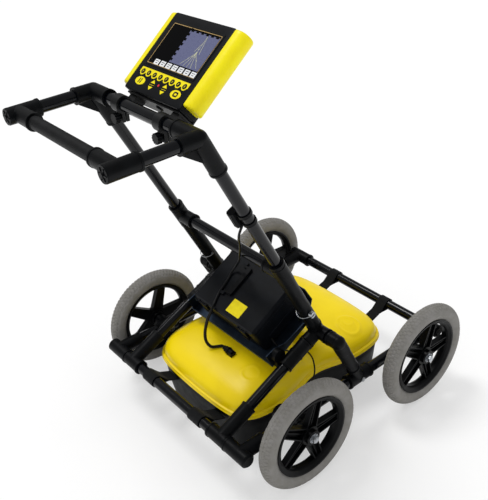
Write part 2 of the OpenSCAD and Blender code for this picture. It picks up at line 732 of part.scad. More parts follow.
// Clamps on the cross tube with a plate and lip that hold the display from below
clamp_x = 84;
module display_bracket() color("#1c1d1f") {
  at_display() {
    translate([-100, face_lo - 3.4, -display_t - 4.5]) cube([200, 140, 4.2]);
    difference() {
      translate([-100, face_lo - 4.6, -display_t - 4.5]) cube([200, 4.2, display_t - 6]);
      translate([10, face_lo + 1, -30]) rotate([90, 0, 0]) cylinder(h = 10, r = 10.5, $fn = 48);
    }
  }
  for (x = [-clamp_x, clamp_x]) difference() {
    union() {
      rod([x - 13, handle_y, handle_z], [x + 13, handle_y, handle_z], tube_r + 6);
      translate([x - 13, handle_y, handle_z]) rotate([display_tilt, 0, 0])
        translate([0, 0, -44]) cube([26, 43, 30]);
      translate([x - 13, handle_y - 9, handle_z - 41]) cube([26, 18, 34]);
    }
    rod([x - 20, handle_y, handle_z], [x + 20, handle_y, handle_z], tube_r + run_gap);
    at_display() translate([-110, face_lo - 0.3, -display_t - 0.3]) cube([220, 200, 120]);
    // Slit that lets the clamp close
    translate([x, handle_y, handle_z - 34]) cube([40, 2.4, 42], center = true);
    rod([x, handle_y - 30, handle_z - 30], [x, handle_y + 30, handle_z - 30], 3 + run_gap);
  }
}

// Knurled thumb knob whose screw closes a clamp
module clamp_knob(x) {
  c = [x, handle_y - 9.4, handle_z - 30];
  rod(c, c + [0, 22, 0], 3);
  rod(c - [0, 3, 0], c, 6);
  translate(c - [0, 3, 0]) rotate([90, 0, 0]) linear_extrude(height = 13) {
    circle(r = 11.5, $fn = 48);
    for (a = [0 : 30 : 330]) rotate(a) translate([11.3, 0]) circle(r = 1.6, $fn = 16);
  }
}

module clamp_knob_left() color("#17181a") clamp_knob(-clamp_x);
module clamp_knob_right() color("#17181a") clamp_knob(clamp_x);

// Lock pins

pin_r = 4;
pin_head_x = fit_r + 4.5;
// Plain pin through sleeve and upright, with a slotted head outside
module lock_pin() {
  c = at_s(upright_x, pin_s);
  difference() {
    union() {
      rod(c - [fit_r + 2.4, 0, 0], c + [fit_r + 2, 0, 0], pin_r);
      rod(c + [fit_r, 0, 0], c + [fit_r + 10, 0, 0], 8.5);
    }
    // Cross bore in which the bail's end turns
    rod(c + [pin_head_x, 0, 0] - 12 * upright_dir, c + [pin_head_x, 0, 0] + 12 * upright_dir, 1.5 + run_gap);
    translate(c + [pin_head_x, 0, 0]) rotate([90 - upright_angle, 0, 0])
      linear_extrude(height = 4.4, center = true)
        polygon([[-4, -12], [12, -12], [12, 7], [3, 4], [-4, 2.2]]);
  }
}

module lock_pin_right() color("#c9ccd0") lock_pin();
module lock_pin_left() color("#c9ccd0") mirror([1, 0, 0]) lock_pin();

// Wire bail: a short axle in the pin's head and an arc that goes behind the sleeve
module pin_bail() {
  c = at_s(upright_x, pin_s);
  translate(c) rotate([90 - upright_angle, 0, 0]) {
    translate([pin_head_x, 0, 0]) cylinder(h = 12, r = 1.5, center = true, $fn = 24);
    rotate([180, 0, 0]) rotate_extrude(angle = 180, $fn = 64)
      translate([pin_head_x, 0]) circle(r = 1.3, $fn = 16);
  }
}

module pin_bail_right() color("#d5d7da") pin_bail();
module pin_bail_left() color("#d5d7da") mirror([1, 0, 0]) pin_bail();

// Radar sensor

sensor_y = mid_y - 45;
ring_n = 96;
// Half-width factor of the plan: a slight waist in the middle
function waist(y) = 1 - 0.135 * exp(-y * y / 8100);
// Point k of the plan outline, drawn in by d millimetres: a squarish oval with a waist
function plan(k, d) =
  let (a = 360 * k / ring_n, w = sensor_half_w - d, l = sensor_half_l - d, n = 7,
    r = pow(pow(abs(cos(a)) / w, n) + pow(abs(sin(a)) / l, n), -1 / n),
    y = r * sin(a), bow = 1 - 0.05 * pow(abs(r * cos(a)) / w, 2))
  [r * cos(a) * waist(y), y * bow];
// Height of the shell's skin where the plan is scaled by q: a flat-topped dome with a valley across it
function dome(q, y, h) = h * pow(1 - pow(q, 3.2), 1 / 2.2) * (1 - 0.42 * exp(-y * y / 900));

// Solid under the domed skin, standing on z = 0: an upright edge, then rings drawn in to the middle
module shell_solid(d, edge, h) {
  steps = [1, 0.985, 0.96, 0.93, 0.89, 0.84, 0.78, 0.7, 0.6, 0.48, 0.35, 0.2, 0.08];
  flat = [for (k = [0 : ring_n - 1]) let (p = plan(k, d)) [p[0], p[1], 0]];
  skin = [for (q = steps, k = [0 : ring_n - 1])
    let (p = q * plan(k, d)) [p[0], p[1], edge + dome(q, p[1], h)]];
  top = [[0, 0, edge + dome(0, 0, h)]];
  m = len(steps) + 1;
  quads = [for (i = [0 : m - 2], k = [0 : ring_n - 1])
    let (a = i * ring_n + k, b = i * ring_n + (k + 1) % ring_n)
    each [[a, b + ring_n, b], [a, a + ring_n, b + ring_n]]];
  fan = [for (k = [0 : ring_n - 1]) [(m - 1) * ring_n + k, m * ring_n, (m - 1) * ring_n + (k + 1) % ring_n]];
  bottom = [[for (k = [0 : ring_n - 1]) k]];
  polyhedron(points = concat(flat, skin, top), faces = concat(quads, fan, bottom), convexity = 8);
}

module sensor_shell() color("#ffe600") translate([0, sensor_y, sensor_edge_z]) difference() {
  shell_solid(0, 15, shell_h - 15);
  translate([0, 0, -0.01]) shell_solid(4, 12, shell_h - 16);
  translate([0, -sensor_y, -sensor_edge_z]) connector_body(0.3);
}

// Deep black tub with drawn-in sides
base_lo_z = 14;
module tub_solid(d, z0, z1) {
  flat = [for (z = [z0, z1], k = [0 : ring_n - 1])
    let (p = plan(k, d + (z1 == z ? 4.15 : 20))) [p[0], p[1], z]];
  sides = [for (k = [0 : ring_n - 1])
    let (b = (k + 1) % ring_n) each [[k, ring_n + b, b], [k, ring_n + k, ring_n + b]]];
  polyhedron(points = flat, convexity = 4,
    faces = concat(sides, [[for (k = [0 : ring_n - 1]) k], [for (k = [ring_n - 1 : -1 : 0]) ring_n + k]]));
}

module sensor_base() color("#18191b") translate([0, sensor_y, 0]) difference() {
  tub_solid(0, base_lo_z, sensor_edge_z + 6);
  tub_solid(5, base_lo_z + 5, sensor_edge_z + 7);
}

// Wear sheet under the tub
module skid_sheet() color("#101112") translate([0, sensor_y, base_lo_z - 6])
  linear_extrude(height = 5.9) round_rect(360, 520, 40);

// Bow-tie antenna boards, one to send and one to receive
module antenna_boards() color("#7a5b2a")
  for (y = [-130, 130]) translate([0, sensor_y + y, base_lo_z + 5.2]) {
    linear_extrude(height = 2) polygon([[-150, -70], [0, -14], [150, -70], [150, 70], [0, 14], [-150, 70]]);
    linear_extrude(height = 9) square([40, 26], center = true);
  }

// Plug and socket on the shell's rear dome
conn_pos = [26, mid_y - 220, sensor_edge_z + shell_h - 0.5];
// The connector, or the room for it where grow is its clearance
module connector_body(grow) {
  rod(conn_pos - [14 + grow, 0, 0], conn_pos + [16, 0, 0], 9 + grow);
  rod(conn_pos - [22 + 20 * grow, 0, 0], conn_pos - [13, 0, 0], 6.5 + grow);
  rod(conn_pos - [4 + grow, 0, 0], conn_pos + [2 + grow, 0, 0], 11 + grow);
  translate(conn_pos + [10, 0, -4.5]) cube([20 + 2 * grow, 18 + 2 * grow, 15 + 2 * grow], center = true);
}

module sensor_connector() color("#151617") connector_body(0);

// Small boxes

// Junction box held to the inner side of the right upright by two rings
box_s = 487;
box_pos = at_s(upright_x - 26, box_s) - 8 * [0, sin(upright_angle), cos(upright_angle)];
module junction_box() color("#141516") translate(at_s(upright_x, box_s)) rotate([90 - upright_angle, 0, 0])
  difference() {
    union() {
      translate([-26, -8, 0]) linear_extrude(height = 46, center = true) polygon([
        [-11, -13], [-6, -18], [6, -18], [11, -13], [11, 13], [6, 18], [-6, 18], [-11, 13]]);
      for (z = [-14, 14]) translate([0, 0, z]) cylinder(h = 9, r = tube_r + 2.6, center = true, $fn = 48);
    }
    cylinder(h = 80, r = tube_r + seat_gap, center = true, $fn = 48);
  }

// Wheel sensor on the inner side of the rear right axle mount
odo_pos = [rail_x - fit_r - 31, axle_y[0], base_z];
module odometer() color("#1a1b1d") difference() {
  union() {
    rod(odo_pos, odo_pos + [27.9, 0, 0], 21);
    rod(odo_pos - [3, 0, 0], odo_pos, 17);
    rod(odo_pos + [9, 0, 0], odo_pos + [9, 26, 10], 5);
  }
  rod(odo_pos + [5, 0, 0], odo_pos + [30, 0, 0], 13 + seat_gap);
}

// Cables

// Points over the case's lid, given by their place across it, up its slope and above it
function on_lid(x, s, n) =
  case_pos + [x, s * cos(tray_slope) - n * sin(tray_slope), s * sin(tray_slope) + n * cos(tray_slope)];

// One cable hangs from the junction box under the mid crossbar, lies on the lid and loops to the sensor
data_path = [
  box_pos - 23.9 * upright_dir, box_pos - 33 * upright_dir - [1.5, 1, 0], [173, mid_y - 268, 692],
  [139, mid_y - 241, 638], [94, mid_y - 210, 577], [47, mid_y - 175, 531],
  [2, mid_y - 143, 490], [-34, mid_y - 119, 456], on_lid(-58, 131, 16),
  on_lid(-64.5, 113, 5.6), on_lid(-61, 93, 3.8), on_lid(-57.5, 73.7, 3.8), on_lid(-54.1, 48.9, 3.8),
  on_lid(-46.3, 24.8, 3.8), on_lid(-38.7, 6, 3.7), [-36.4, mid_y - 226.7, 338.1], [-38, mid_y - 237, 321],
  [-43.5, mid_y - 243, 293], [-45, mid_y - 247.5, 266], [-39, mid_y - 249, 245], [-26, mid_y - 243.5, 232],
  [-14.5, mid_y - 228.5, 231], [-6, mid_y - 220.6, 233.3], conn_pos - [22.8, 0, 0]];
module data_cable() color("#121314") cord(data_path, 3.2, 4, [0.2, 0.9, -0.4]);

odo_path = [
  [131, mid_y - 150, 300], [147, mid_y - 150, 290], [163, mid_y - 132, 268], [166, mid_y - 96, 246],
  [163, mid_y - 62, 226], [176, mid_y - 52, 216], [200, mid_y - 60, 206], [226, mid_y - 84, 190],
  [244, mid_y - 130, 181], [247, mid_y - 177, 177.5], odo_pos + [9, 27.2, 10.5]];
module odometer_cable() color("#121314") cord(odo_path, 2.2, 4, [0.3, 0.1, 1]);

rear_crossbar();
front_crossbar();
side_rails();
base_fittings();
rear_struts();
hinge_fittings();
legs();
axle_mounts();
axles();
axle_nuts();
wheel_bearings();
sleeves();
mid_crossbar();
uprights();
handle_fittings();
side_tubes();
grip_bar();
display_crossbar();
frame_bolts();
tow_straps();
tray_clips();
battery_tray();
case_base();
battery();
case_lid();
lid_hinge_pin();
case_latch_left();
case_latch_right();
case_handle();
tyre_rear_left();
tyre_rear_right();
tyre_front_left();
tyre_front_right();
rim_rear_left();
rim_rear_right();
rim_front_left();
rim_front_right();
display_housing();
display_grips();
screen();
keypad();
display_bracket();
clamp_knob_left();
clamp_knob_right();
lock_pin_left();
lock_pin_right();
pin_bail_left();
pin_bail_right();
sensor_shell();
sensor_base();
skid_sheet();
antenna_boards();
sensor_connector();
junction_box();
odometer();
data_cable();
odometer_cable();
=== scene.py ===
# Looks of a ground penetrating radar cart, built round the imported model.
# Shapes below are worked out in millimetres and turned to metres when their mesh is made.
import json
import math

import bpy
import numpy as np
from mathutils import Matrix, Vector


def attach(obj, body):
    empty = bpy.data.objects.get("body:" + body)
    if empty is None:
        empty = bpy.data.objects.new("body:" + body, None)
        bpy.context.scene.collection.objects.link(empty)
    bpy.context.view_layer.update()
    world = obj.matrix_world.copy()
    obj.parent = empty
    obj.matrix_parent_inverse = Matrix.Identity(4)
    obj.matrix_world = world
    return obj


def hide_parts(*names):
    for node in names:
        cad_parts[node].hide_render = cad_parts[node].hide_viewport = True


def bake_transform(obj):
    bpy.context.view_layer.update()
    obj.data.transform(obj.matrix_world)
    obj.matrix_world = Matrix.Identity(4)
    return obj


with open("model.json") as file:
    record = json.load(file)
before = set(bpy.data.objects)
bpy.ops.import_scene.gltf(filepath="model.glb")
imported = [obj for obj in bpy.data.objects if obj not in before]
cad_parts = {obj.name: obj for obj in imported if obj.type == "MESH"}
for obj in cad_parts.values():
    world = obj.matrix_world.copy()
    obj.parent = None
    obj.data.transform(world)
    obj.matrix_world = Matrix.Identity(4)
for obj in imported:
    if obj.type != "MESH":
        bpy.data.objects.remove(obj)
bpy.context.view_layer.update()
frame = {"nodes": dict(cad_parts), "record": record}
nodes = frame["nodes"]
scene = bpy.context.scene
print("frame:", len(nodes), "nodes")

# ---- camera: the place and turn were solved from the wheels, the crossbars and the two mirror sides
camera = {"place": (1.3574, -1.0603, 1.5786), "azimuth": 52.357, "elevation": 31.865, "roll": -3.995, "lens": 53.85}


def makeCamera():
    azimuth, elevation, roll = (math.radians(camera[k]) for k in ("azimuth", "elevation", "roll"))
    back = np.array([math.sin(azimuth) * math.cos(elevation), -math.cos(azimuth) * math.cos(elevation), math.sin(elevation)])
    right = np.array([math.cos(azimuth), math.sin(azimuth), 0])
    up = np.cross(back, right)
    right, up = math.cos(roll) * right + math.sin(roll) * up, -math.sin(roll) * right + math.cos(roll) * up
    data = bpy.data.cameras.new("studioCamera")
    data.lens, data.sensor_width = camera["lens"], 36
    data.clip_start, data.clip_end = 0.05, 60
    obj = bpy.data.objects.new("studioCamera", data)
    turn = np.eye(4)
    turn[:3, 0], turn[:3, 1], turn[:3, 2], turn[:3, 3] = right, up, back, camera["place"]
    obj.matrix_world = Matrix(turn.tolist())
    scene.collection.objects.link(obj)
    scene.camera = obj


makeCamera()


# ---- helpers for meshes
def faceVolume(points, faces):
    # six times the volume inside: sum of a . (b x c) over each face's triangles, positive where faces point outwards
    total = 0.0
    for k in range(1, faces.shape[1] - 1):
        a, b, c = points[faces[:, 0]], points[faces[:, k]], points[faces[:, k + 1]]
        total += float(np.einsum("ij,ij->i", a, np.cross(b, c)).sum())
    return total


def makePiece(name, points, quads, triangles, body, material, sharp=30.0, uv=None):
    # puts arrays of points (mm), quads and triangles into one mesh whose object stays at the origin
    points = np.asarray(points, float) * 0.001
    volume = faceVolume(points, quads) if len(quads) else 0.0
    volume += faceVolume(points, triangles) if len(triangles) else 0.0
    if volume < 0:
        quads, triangles = quads[:, ::-1], triangles[:, ::-1]
    mesh = bpy.data.meshes.new(name)
    mesh.from_pydata(points.tolist(), [], quads.tolist() + triangles.tolist())
    mesh.update()
    if uv is not None:
        corner = np.zeros(len(mesh.loops), np.int32)
        mesh.loops.foreach_get("vertex_index", corner)
        layer = mesh.uv_layers.new(name="pieceMap")
        layer.data.foreach_set("uv", np.asarray(uv, np.float32)[corner].ravel())
    mesh.shade_smooth()
    mesh.set_sharp_from_angle(angle=math.radians(sharp))
    obj = bpy.data.objects.new(name, mesh)
    obj.data.materials.append(material)
    scene.collection.objects.link(obj)
    if body:
        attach(obj, body)
    return obj


def gridFaces(rows, columns, wrapRows=False, wrapColumns=False):
    # quads between neighbours of a grid of rows x columns points, closed round where asked
    i = np.arange(rows if wrapRows else rows - 1)
    j = np.arange(columns if wrapColumns else columns - 1)
    i, j = np.meshgrid(i, j, indexing="ij")
    i, j, i2, j2 = i.ravel(), j.ravel(), (i.ravel() + 1) % rows, (j.ravel() + 1) % columns
    return np.stack([i * columns + j, i * columns + j2, i2 * columns + j2, i2 * columns + j], 1)


def gridPiece(name, grid, body, material, wrapRows=False, wrapColumns=True, caps=(False, False), sharp=30.0, uv=None):
    # a surface from a grid of points (rows, columns, 3); a cap closes the first or last row round its middle point
    rows, columns = grid.shape[:2]
    points = grid.reshape(-1, 3)
    quads = gridFaces(rows, columns, wrapRows, wrapColumns)
    triangles = np.zeros((0, 3), int)
    for row, capped in ((0, caps[0]), (rows - 1, caps[1])):
        if capped:
            points = np.vstack([points, grid[row].mean(axis=0)])
            ring = row * columns + np.arange(columns)
            fan = np.stack([ring, np.full(columns, len(points) - 1), np.roll(ring, -1)], 1)
            triangles = np.vstack([triangles, fan if row == 0 else fan[:, ::-1]])
            if uv is not None:
                uv = np.vstack([uv.reshape(-1, 2), uv.reshape(-1, 2)[row * columns]])
    return makePiece(name, points, quads, triangles, body, material, sharp, None if uv is None else uv.reshape(-1, 2))


def smoothCurve(points, steps):
    # Catmull-Rom curve through the points, with that many steps between two of them
    p = np.asarray(points, float)
    p = np.vstack([p[:1], p, p[-1:]])
    t = (np.arange(steps) / steps)[None, :, None]
    a, b, c, d = (p[k:len(p) - 3 + k][:, None, :] for k in range(4))
    curve = 0.5 * (2 * b + (c - a) * t + (2 * a - 5 * b + 4 * c - d) * t ** 2 + (3 * b - a - 3 * c + d) * t ** 3)
    return np.vstack([curve.reshape(-1, 3), p[-1:]])


def sweptFrames(path):
    # direction along the path and two unit vectors across it, kept from twisting by carrying the first one along
    along = np.gradient(path, axis=0)
    along /= np.linalg.norm(along, axis=1)[:, None]
    side = np.zeros_like(path)
    start = np.cross(along[0], [0.13, 0.27, 0.95])
    side[0] = start / np.linalg.norm(start)
    for k in range(1, len(path)):
        v = side[k - 1] - along[k] * (side[k - 1] @ along[k])
        side[k] = v / np.linalg.norm(v)
    return along, side, np.cross(along, side)


def tubeGrid(path, radius, sides=20):
    # a circle of that radius carried along the path; radius may be one number or one for each point
    _, side, over = sweptFrames(path)
    turn = np.linspace(0, 2 * math.pi, sides, endpoint=False)[None, :, None]
    r = np.broadcast_to(np.asarray(radius, float), (len(path),))[:, None, None]
    return path[:, None, :] + r * (np.cos(turn) * side[:, None, :] + np.sin(turn) * over[:, None, :])


def roundedRectangle(width, height, radius, steps=10):
    # outline of a rectangle with quarter circles at its corners, anticlockwise, as (n, 2)
    turn = np.linspace(0, math.pi / 2, steps)
    corners = []
    for k, (sx, sy) in enumerate(((1, 1), (-1, 1), (-1, -1), (1, -1))):
        angle = turn + k * math.pi / 2
        corners.append(np.stack([sx * (width / 2 - radius) + radius * np.cos(angle), sy * (height / 2 - radius) + radius * np.sin(angle)], 1))
    return np.vstack(corners)


def loftedBlock(width, height, radius, profile, steps=10):
    # rings of a rounded rectangle, each drawn in by a distance and raised to a height: profile is (n, 2)
    rings = []
    for inset, z in profile:
        outline = roundedRectangle(width - 2 * inset, height - 2 * inset, max(radius - inset, 0.4), steps)
        rings.append(np.column_stack([outline, np.full(len(outline), z)]))
    return np.array(rings)


def onSlope(points, origin, degrees):
    # turns points (x across, s up the slope, n off it) into the cart's own frame
    p = np.asarray(points, float)
    c, s = math.cos(math.radians(degrees)), math.sin(math.radians(degrees))
    return np.stack([origin[0] + p[..., 0], origin[1] + p[..., 1] * c - p[..., 2] * s, origin[2] + p[..., 1] * s + p[..., 2] * c], -1)


# ---- helpers for materials
def hexColour(text):
    # sRGB hex to the linear colour that a shader socket takes
    value = np.array([int(text[k:k + 2], 16) for k in (1, 3, 5)]) / 255
    linear = np.where(value <= 0.04045, value / 12.92, ((value + 0.055) / 1.055) ** 2.4)
    return (*linear.tolist(), 1.0)


def addNode(tree, kind, settings=None, **inputs):
    # adds a node, sets its properties, and sets or links its inputs; inputs are named by their label or by k0, k1 ...
    node = tree.nodes.new(kind)
    for key, value in (settings or {}).items():
        setattr(node, key, value)
    for key, value in inputs.items():
        socket = node.inputs[int(key[1:])] if key[0] == "k" and key[1:].isdigit() else node.inputs[key.replace("_", " ")]
        if isinstance(value, bpy.types.NodeSocket):
            tree.links.new(value, socket)
        else:
            socket.default_value = value
    return node


def newMaterial(name):
    material = bpy.data.materials.new(name)
    material.use_nodes = True
    tree = material.node_tree
    tree.nodes.clear()
    shader = addNode(tree, "ShaderNodeBsdfPrincipled")
    addNode(tree, "ShaderNodeOutputMaterial", Surface=shader.outputs[0])
    place = addNode(tree, "ShaderNodeTexCoord").outputs["Object"]
    return material, tree, shader, place


def setShader(shader, **values):
    for key, value in values.items():
        shader.inputs[key.replace("_", " ")].default_value = value


def mottled(tree, place, low, high, size, detail=3.0, spread=(0.35, 0.65)):
    # two near colours mixed by a soft noise whose patches are about size metres wide
    noise = addNode(tree, "ShaderNodeTexNoise", Vector=place, Scale=1 / size, Detail=detail)
    share = addNode(tree, "ShaderNodeMapRange", Value=noise.outputs[0], From_Min=spread[0], From_Max=spread[1])
    return addNode(tree, "ShaderNodeMix", {"data_type": "RGBA"}, k0=share.outputs[0], k6=hexColour(low), k7=hexColour(high)).outputs[2]


def mouldedPlastic(name, low, high, rough, grain, depth, edge=0.9, patch=0.03, coat=0.0, edgeWearAndHighlight=None, shine=0.22):
    # injection-moulded plastic: near-even colour, fine grain from the etched mould, edges rounded by edge mm
    material, tree, shader, place = newMaterial(name)
    base = mottled(tree, place, low, high, patch)
    soft = addNode(tree, "ShaderNodeBevel", {"samples": 4}, Radius=edge * 0.001)
    if edgeWearAndHighlight:
        # where the rounded normal leaves the flat one there is an edge, drawn paler: partly wear that hands and straps
        # have polished, partly a painted highlight along the edges
        flat = addNode(tree, "ShaderNodeNewGeometry")
        turn = addNode(tree, "ShaderNodeVectorMath", {"operation": "DOT_PRODUCT"}, k0=soft.outputs[0], k1=flat.outputs["Normal"])
        edgeWearAndHighlightShare = addNode(tree, "ShaderNodeMapRange", Value=turn.outputs["Value"], From_Min=0.985, From_Max=0.86)
        base = addNode(tree, "ShaderNodeMix", {"data_type": "RGBA"}, k0=edgeWearAndHighlightShare.outputs[0], k6=base, k7=hexColour(edgeWearAndHighlight)).outputs[2]
    tree.links.new(base, shader.inputs["Base Color"])
    fine = addNode(tree, "ShaderNodeTexNoise", Vector=place, Scale=1000 / grain, Detail=2.0)
    roughShare = addNode(tree, "ShaderNodeTexNoise", Vector=place, Scale=45.0, Detail=4.0)
    roughness = addNode(tree, "ShaderNodeMapRange", Value=roughShare.outputs[0], From_Min=0.3, From_Max=0.7, To_Min=rough - 0.05, To_Max=rough + 0.07)
    tree.links.new(roughness.outputs[0], shader.inputs["Roughness"])
    bump = addNode(tree, "ShaderNodeBump", Strength=0.6, Distance=depth * 0.001, Height=fine.outputs[0], Normal=soft.outputs[0])
    tree.links.new(bump.outputs[0], shader.inputs["Normal"])
    setShader(shader, Specular_IOR_Level=shine, Coat_Weight=coat, Coat_Roughness=0.08)
    return material


# moulded glass-filled nylon of the tube fittings: near black, fine sand-blasted grain, edges a little paler from wear
# and a painted edge highlight
nylonBlack = mouldedPlastic("mouldedNylonBlack", "#050608", "#090b0e", 0.4, 1.6, 0.06, 1.2, edgeWearAndHighlight="#121418", shine=0.13)
# wheel nylon: the same plastic, smoother from the polished mould, its edges paler from wear and a painted edge
# highlight
rimNylon = mouldedPlastic("mouldedNylonRim", "#040506", "#08090b", 0.36, 1.8, 0.05, 1.1, edgeWearAndHighlight="#0f1114", shine=0.12)
# fine-grained polypropylene of the battery case, its edges paler from wear and a painted edge highlight
casePlastic = mouldedPlastic("polypropyleneCase", "#07090d", "#0b0e13", 0.4, 1.4, 0.08, 1.4, edgeWearAndHighlight="#161a21", shine=0.13)
# ABS of the display's body: matt black face
displayBlack = mouldedPlastic("absDisplayBlack", "#0a0c0f", "#101216", 0.4, 1.2, 0.03, 1.2, shine=0.13)
# battery casing and circuit board are seen only when the case or shell is open
batteryPlastic = mouldedPlastic("absBatteryGrey", "#33353a", "#3e4046", 0.5, 1.5, 0.1, 1.0)
circuitBoard = mouldedPlastic("epoxyBoard", "#5c4420", "#7a5c2c", 0.45, 2.5, 0.05, 0.3, patch=0.012)
# polyethylene of the sensor's lower tub: waxy black with soft sheen
tubBlack = mouldedPlastic("polyethyleneTub", "#040506", "#08090b", 0.42, 2.4, 0.1, 1.5, shine=0.12)
# yellow ABS of the display's cheeks, glossy from a polished mould
cheekYellow = mouldedPlastic("absCheekYellow", "#fbe900", "#fff200", 0.32, 4.0, 0.02, 0.6, shine=0.3)
# yellow membrane print round the keys
membraneYellow = mouldedPlastic("polyesterMembraneYellow", "#f6e300", "#fdec00", 0.36, 1.5, 0.01, 0.2)
printBlack = mouldedPlastic("polyesterMembraneBlack", "#0d0d0e", "#131315", 0.4, 1.5, 0.01, 0.2)
printWhite = mouldedPlastic("screenPrintWhite", "#e9ebee", "#f3f5f6", 0.5, 1.5, 0.01, 0.2)
labelYellow = mouldedPlastic("vinylLabelYellow", "#e9d400", "#f3e000", 0.4, 1.8, 0.02, 0.3, patch=0.01)
cordJacket = mouldedPlastic("pvcCordJacket", "#08090a", "#0e0f11", 0.38, 1.2, 0.04, 0.4)


def makeTubeBlack():
    # pultruded glass-fibre tube: black resin with a satin skin, faint fibre streaks and fine dust
    material, tree, shader, place = newMaterial("glassFibreTubeBlack")
    base = mottled(tree, place, "#020307", "#06080d", 0.02, 4.0)
    tree.links.new(base, shader.inputs["Base Color"])
    fibre = addNode(tree, "ShaderNodeTexNoise", Vector=place, Scale=240.0, Detail=3.0)
    rough = addNode(tree, "ShaderNodeMapRange", Value=fibre.outputs[0], From_Min=0.3, From_Max=0.7, To_Min=0.14, To_Max=0.2)
    tree.links.new(rough.outputs[0], shader.inputs["Roughness"])
    bump = addNode(tree, "ShaderNodeBump", Strength=0.2, Distance=0.00002, Height=fibre.outputs[0])
    tree.links.new(bump.outputs[0], shader.inputs["Normal"])
    setShader(shader, Specular_IOR_Level=0.3)
    return material


def makeGripRubber():
    # rubber-covered grip bar: matt, with a soft knurl that is drawn at 2 mm so that it shows
    material, tree, shader, place = newMaterial("rubberGrip")
    base = mottled(tree, place, "#08090b", "#101114", 0.015)
    tree.links.new(base, shader.inputs["Base Color"])
    knurl = addNode(tree, "ShaderNodeTexVoronoi", Vector=place, Scale=500.0)
    bump = addNode(tree, "ShaderNodeBump", Strength=0.5, Distance=0.0003, Height=knurl.outputs[0])
    tree.links.new(bump.outputs[0], shader.inputs["Normal"])
    setShader(shader, Roughness=0.6, Specular_IOR_Level=0.25)
    return material


def makeMetal(name, low, high, rough, patch, edge):
    # plated steel: metallic, with faint cloudy zinc and drawn scratches in its roughness
    material, tree, shader, place = newMaterial(name)
    base = mottled(tree, place, low, high, patch, 5.0)
    tree.links.new(base, shader.inputs["Base Color"])
    cloud = addNode(tree, "ShaderNodeTexNoise", Vector=place, Scale=600.0, Detail=3.0)
    roughness = addNode(tree, "ShaderNodeMapRange", Value=cloud.outputs[0], From_Min=0.3, From_Max=0.7, To_Min=rough - 0.08, To_Max=rough + 0.1)
    tree.links.new(roughness.outputs[0], shader.inputs["Roughness"])
    soft = addNode(tree, "ShaderNodeBevel", {"samples": 4}, Radius=edge * 0.001)
    tree.links.new(soft.outputs[0], shader.inputs["Normal"])
    setShader(shader, Metallic=1.0)
    return material


tubeBlack = makeTubeBlack()
gripRubber = makeGripRubber()
zincSteel = makeMetal("zincPlatedSteel", "#a9adb2", "#c9ccd0", 0.3, 0.006, 0.4)
traySheet = makeMetal("anodisedTraySheet", "#2f3947", "#3c4858", 0.42, 0.03, 0.5)


def makeBracketPaint():
    # powder-coated steel plate: black with a fine orange-peel skin of about 2 mm
    material, tree, shader, place = newMaterial("powderCoatBlack")
    tree.links.new(mottled(tree, place, "#08090a", "#0e0f12", 0.02), shader.inputs["Base Color"])
    peel = addNode(tree, "ShaderNodeTexNoise", Vector=place, Scale=500.0, Detail=1.0)
    soft = addNode(tree, "ShaderNodeBevel", {"samples": 4}, Radius=0.0008)
    bump = addNode(tree, "ShaderNodeBump", Strength=0.4, Distance=0.00012, Height=peel.outputs[0], Normal=soft.outputs[0])
    tree.links.new(bump.outputs[0], shader.inputs["Normal"])
    setShader(shader, Roughness=0.45, Specular_IOR_Level=0.3)
    return material


bracketPaint = makeBracketPaint()


def makeShellYellow():
    # rotomoulded or vacuum-formed polyethylene shell: saturated yellow, satin gloss, a faint ripple and darker dust
    # specks
    material, tree, shader, place = newMaterial("polyethyleneShellYellow")
    base = mottled(tree, place, "#f5d600", "#fee000", 0.12, 3.0)
    dust = addNode(tree, "ShaderNodeTexNoise", Vector=place, Scale=70.0, Detail=6.0, Roughness=0.7)
    speck = addNode(tree, "ShaderNodeMapRange", Value=dust.outputs[0], From_Min=0.6, From_Max=0.82, To_Max=0.25)
    base = addNode(tree, "ShaderNodeMix", {"data_type": "RGBA"}, k0=speck.outputs[0], k6=base, k7=hexColour("#d9bd12")).outputs[2]
    tree.links.new(base, shader.inputs["Base Color"])
    ripple = addNode(tree, "ShaderNodeTexNoise", Vector=place, Scale=26.0, Detail=2.0)
    fine = addNode(tree, "ShaderNodeTexNoise", Vector=place, Scale=700.0, Detail=2.0)
    bump = addNode(tree, "ShaderNodeBump", Strength=0.25, Distance=0.0012, Height=ripple.outputs[0])
    normal = addNode(tree, "ShaderNodeBump", Strength=0.3, Distance=0.00008, Height=fine.outputs[0], Normal=bump.outputs[0])
    tree.links.new(normal.outputs[0], shader.inputs["Normal"])
    setShader(shader, Roughness=0.33, Specular_IOR_Level=0.3)
    return material


def makeTyreGrey():
    # grey non-marking rubber: warm grey, matt, with soft darker stains at random
    material, tree, shader, place = newMaterial("nonMarkingRubberGrey")
    base = mottled(tree, place, "#7b7974", "#858380", 0.02, 5.0)
    stain = addNode(tree, "ShaderNodeTexNoise", Vector=place, Scale=12.0, Detail=5.0)
    share = addNode(tree, "ShaderNodeMapRange", Value=stain.outputs[0], From_Min=0.5, From_Max=0.75, To_Max=0.25)
    base = addNode(tree, "ShaderNodeMix", {"data_type": "RGBA"}, k0=share.outputs[0], k6=base, k7=hexColour("#716f69")).outputs[2]
    tree.links.new(base, shader.inputs["Base Color"])
    grain = addNode(tree, "ShaderNodeTexNoise", Vector=place, Scale=900.0, Detail=3.0)
    bump = addNode(tree, "ShaderNodeBump", Strength=0.5, Distance=0.0001, Height=grain.outputs[0])
    tree.links.new(bump.outputs[0], shader.inputs["Normal"])
    setShader(shader, Roughness=0.75, Specular_IOR_Level=0.3)
    return material


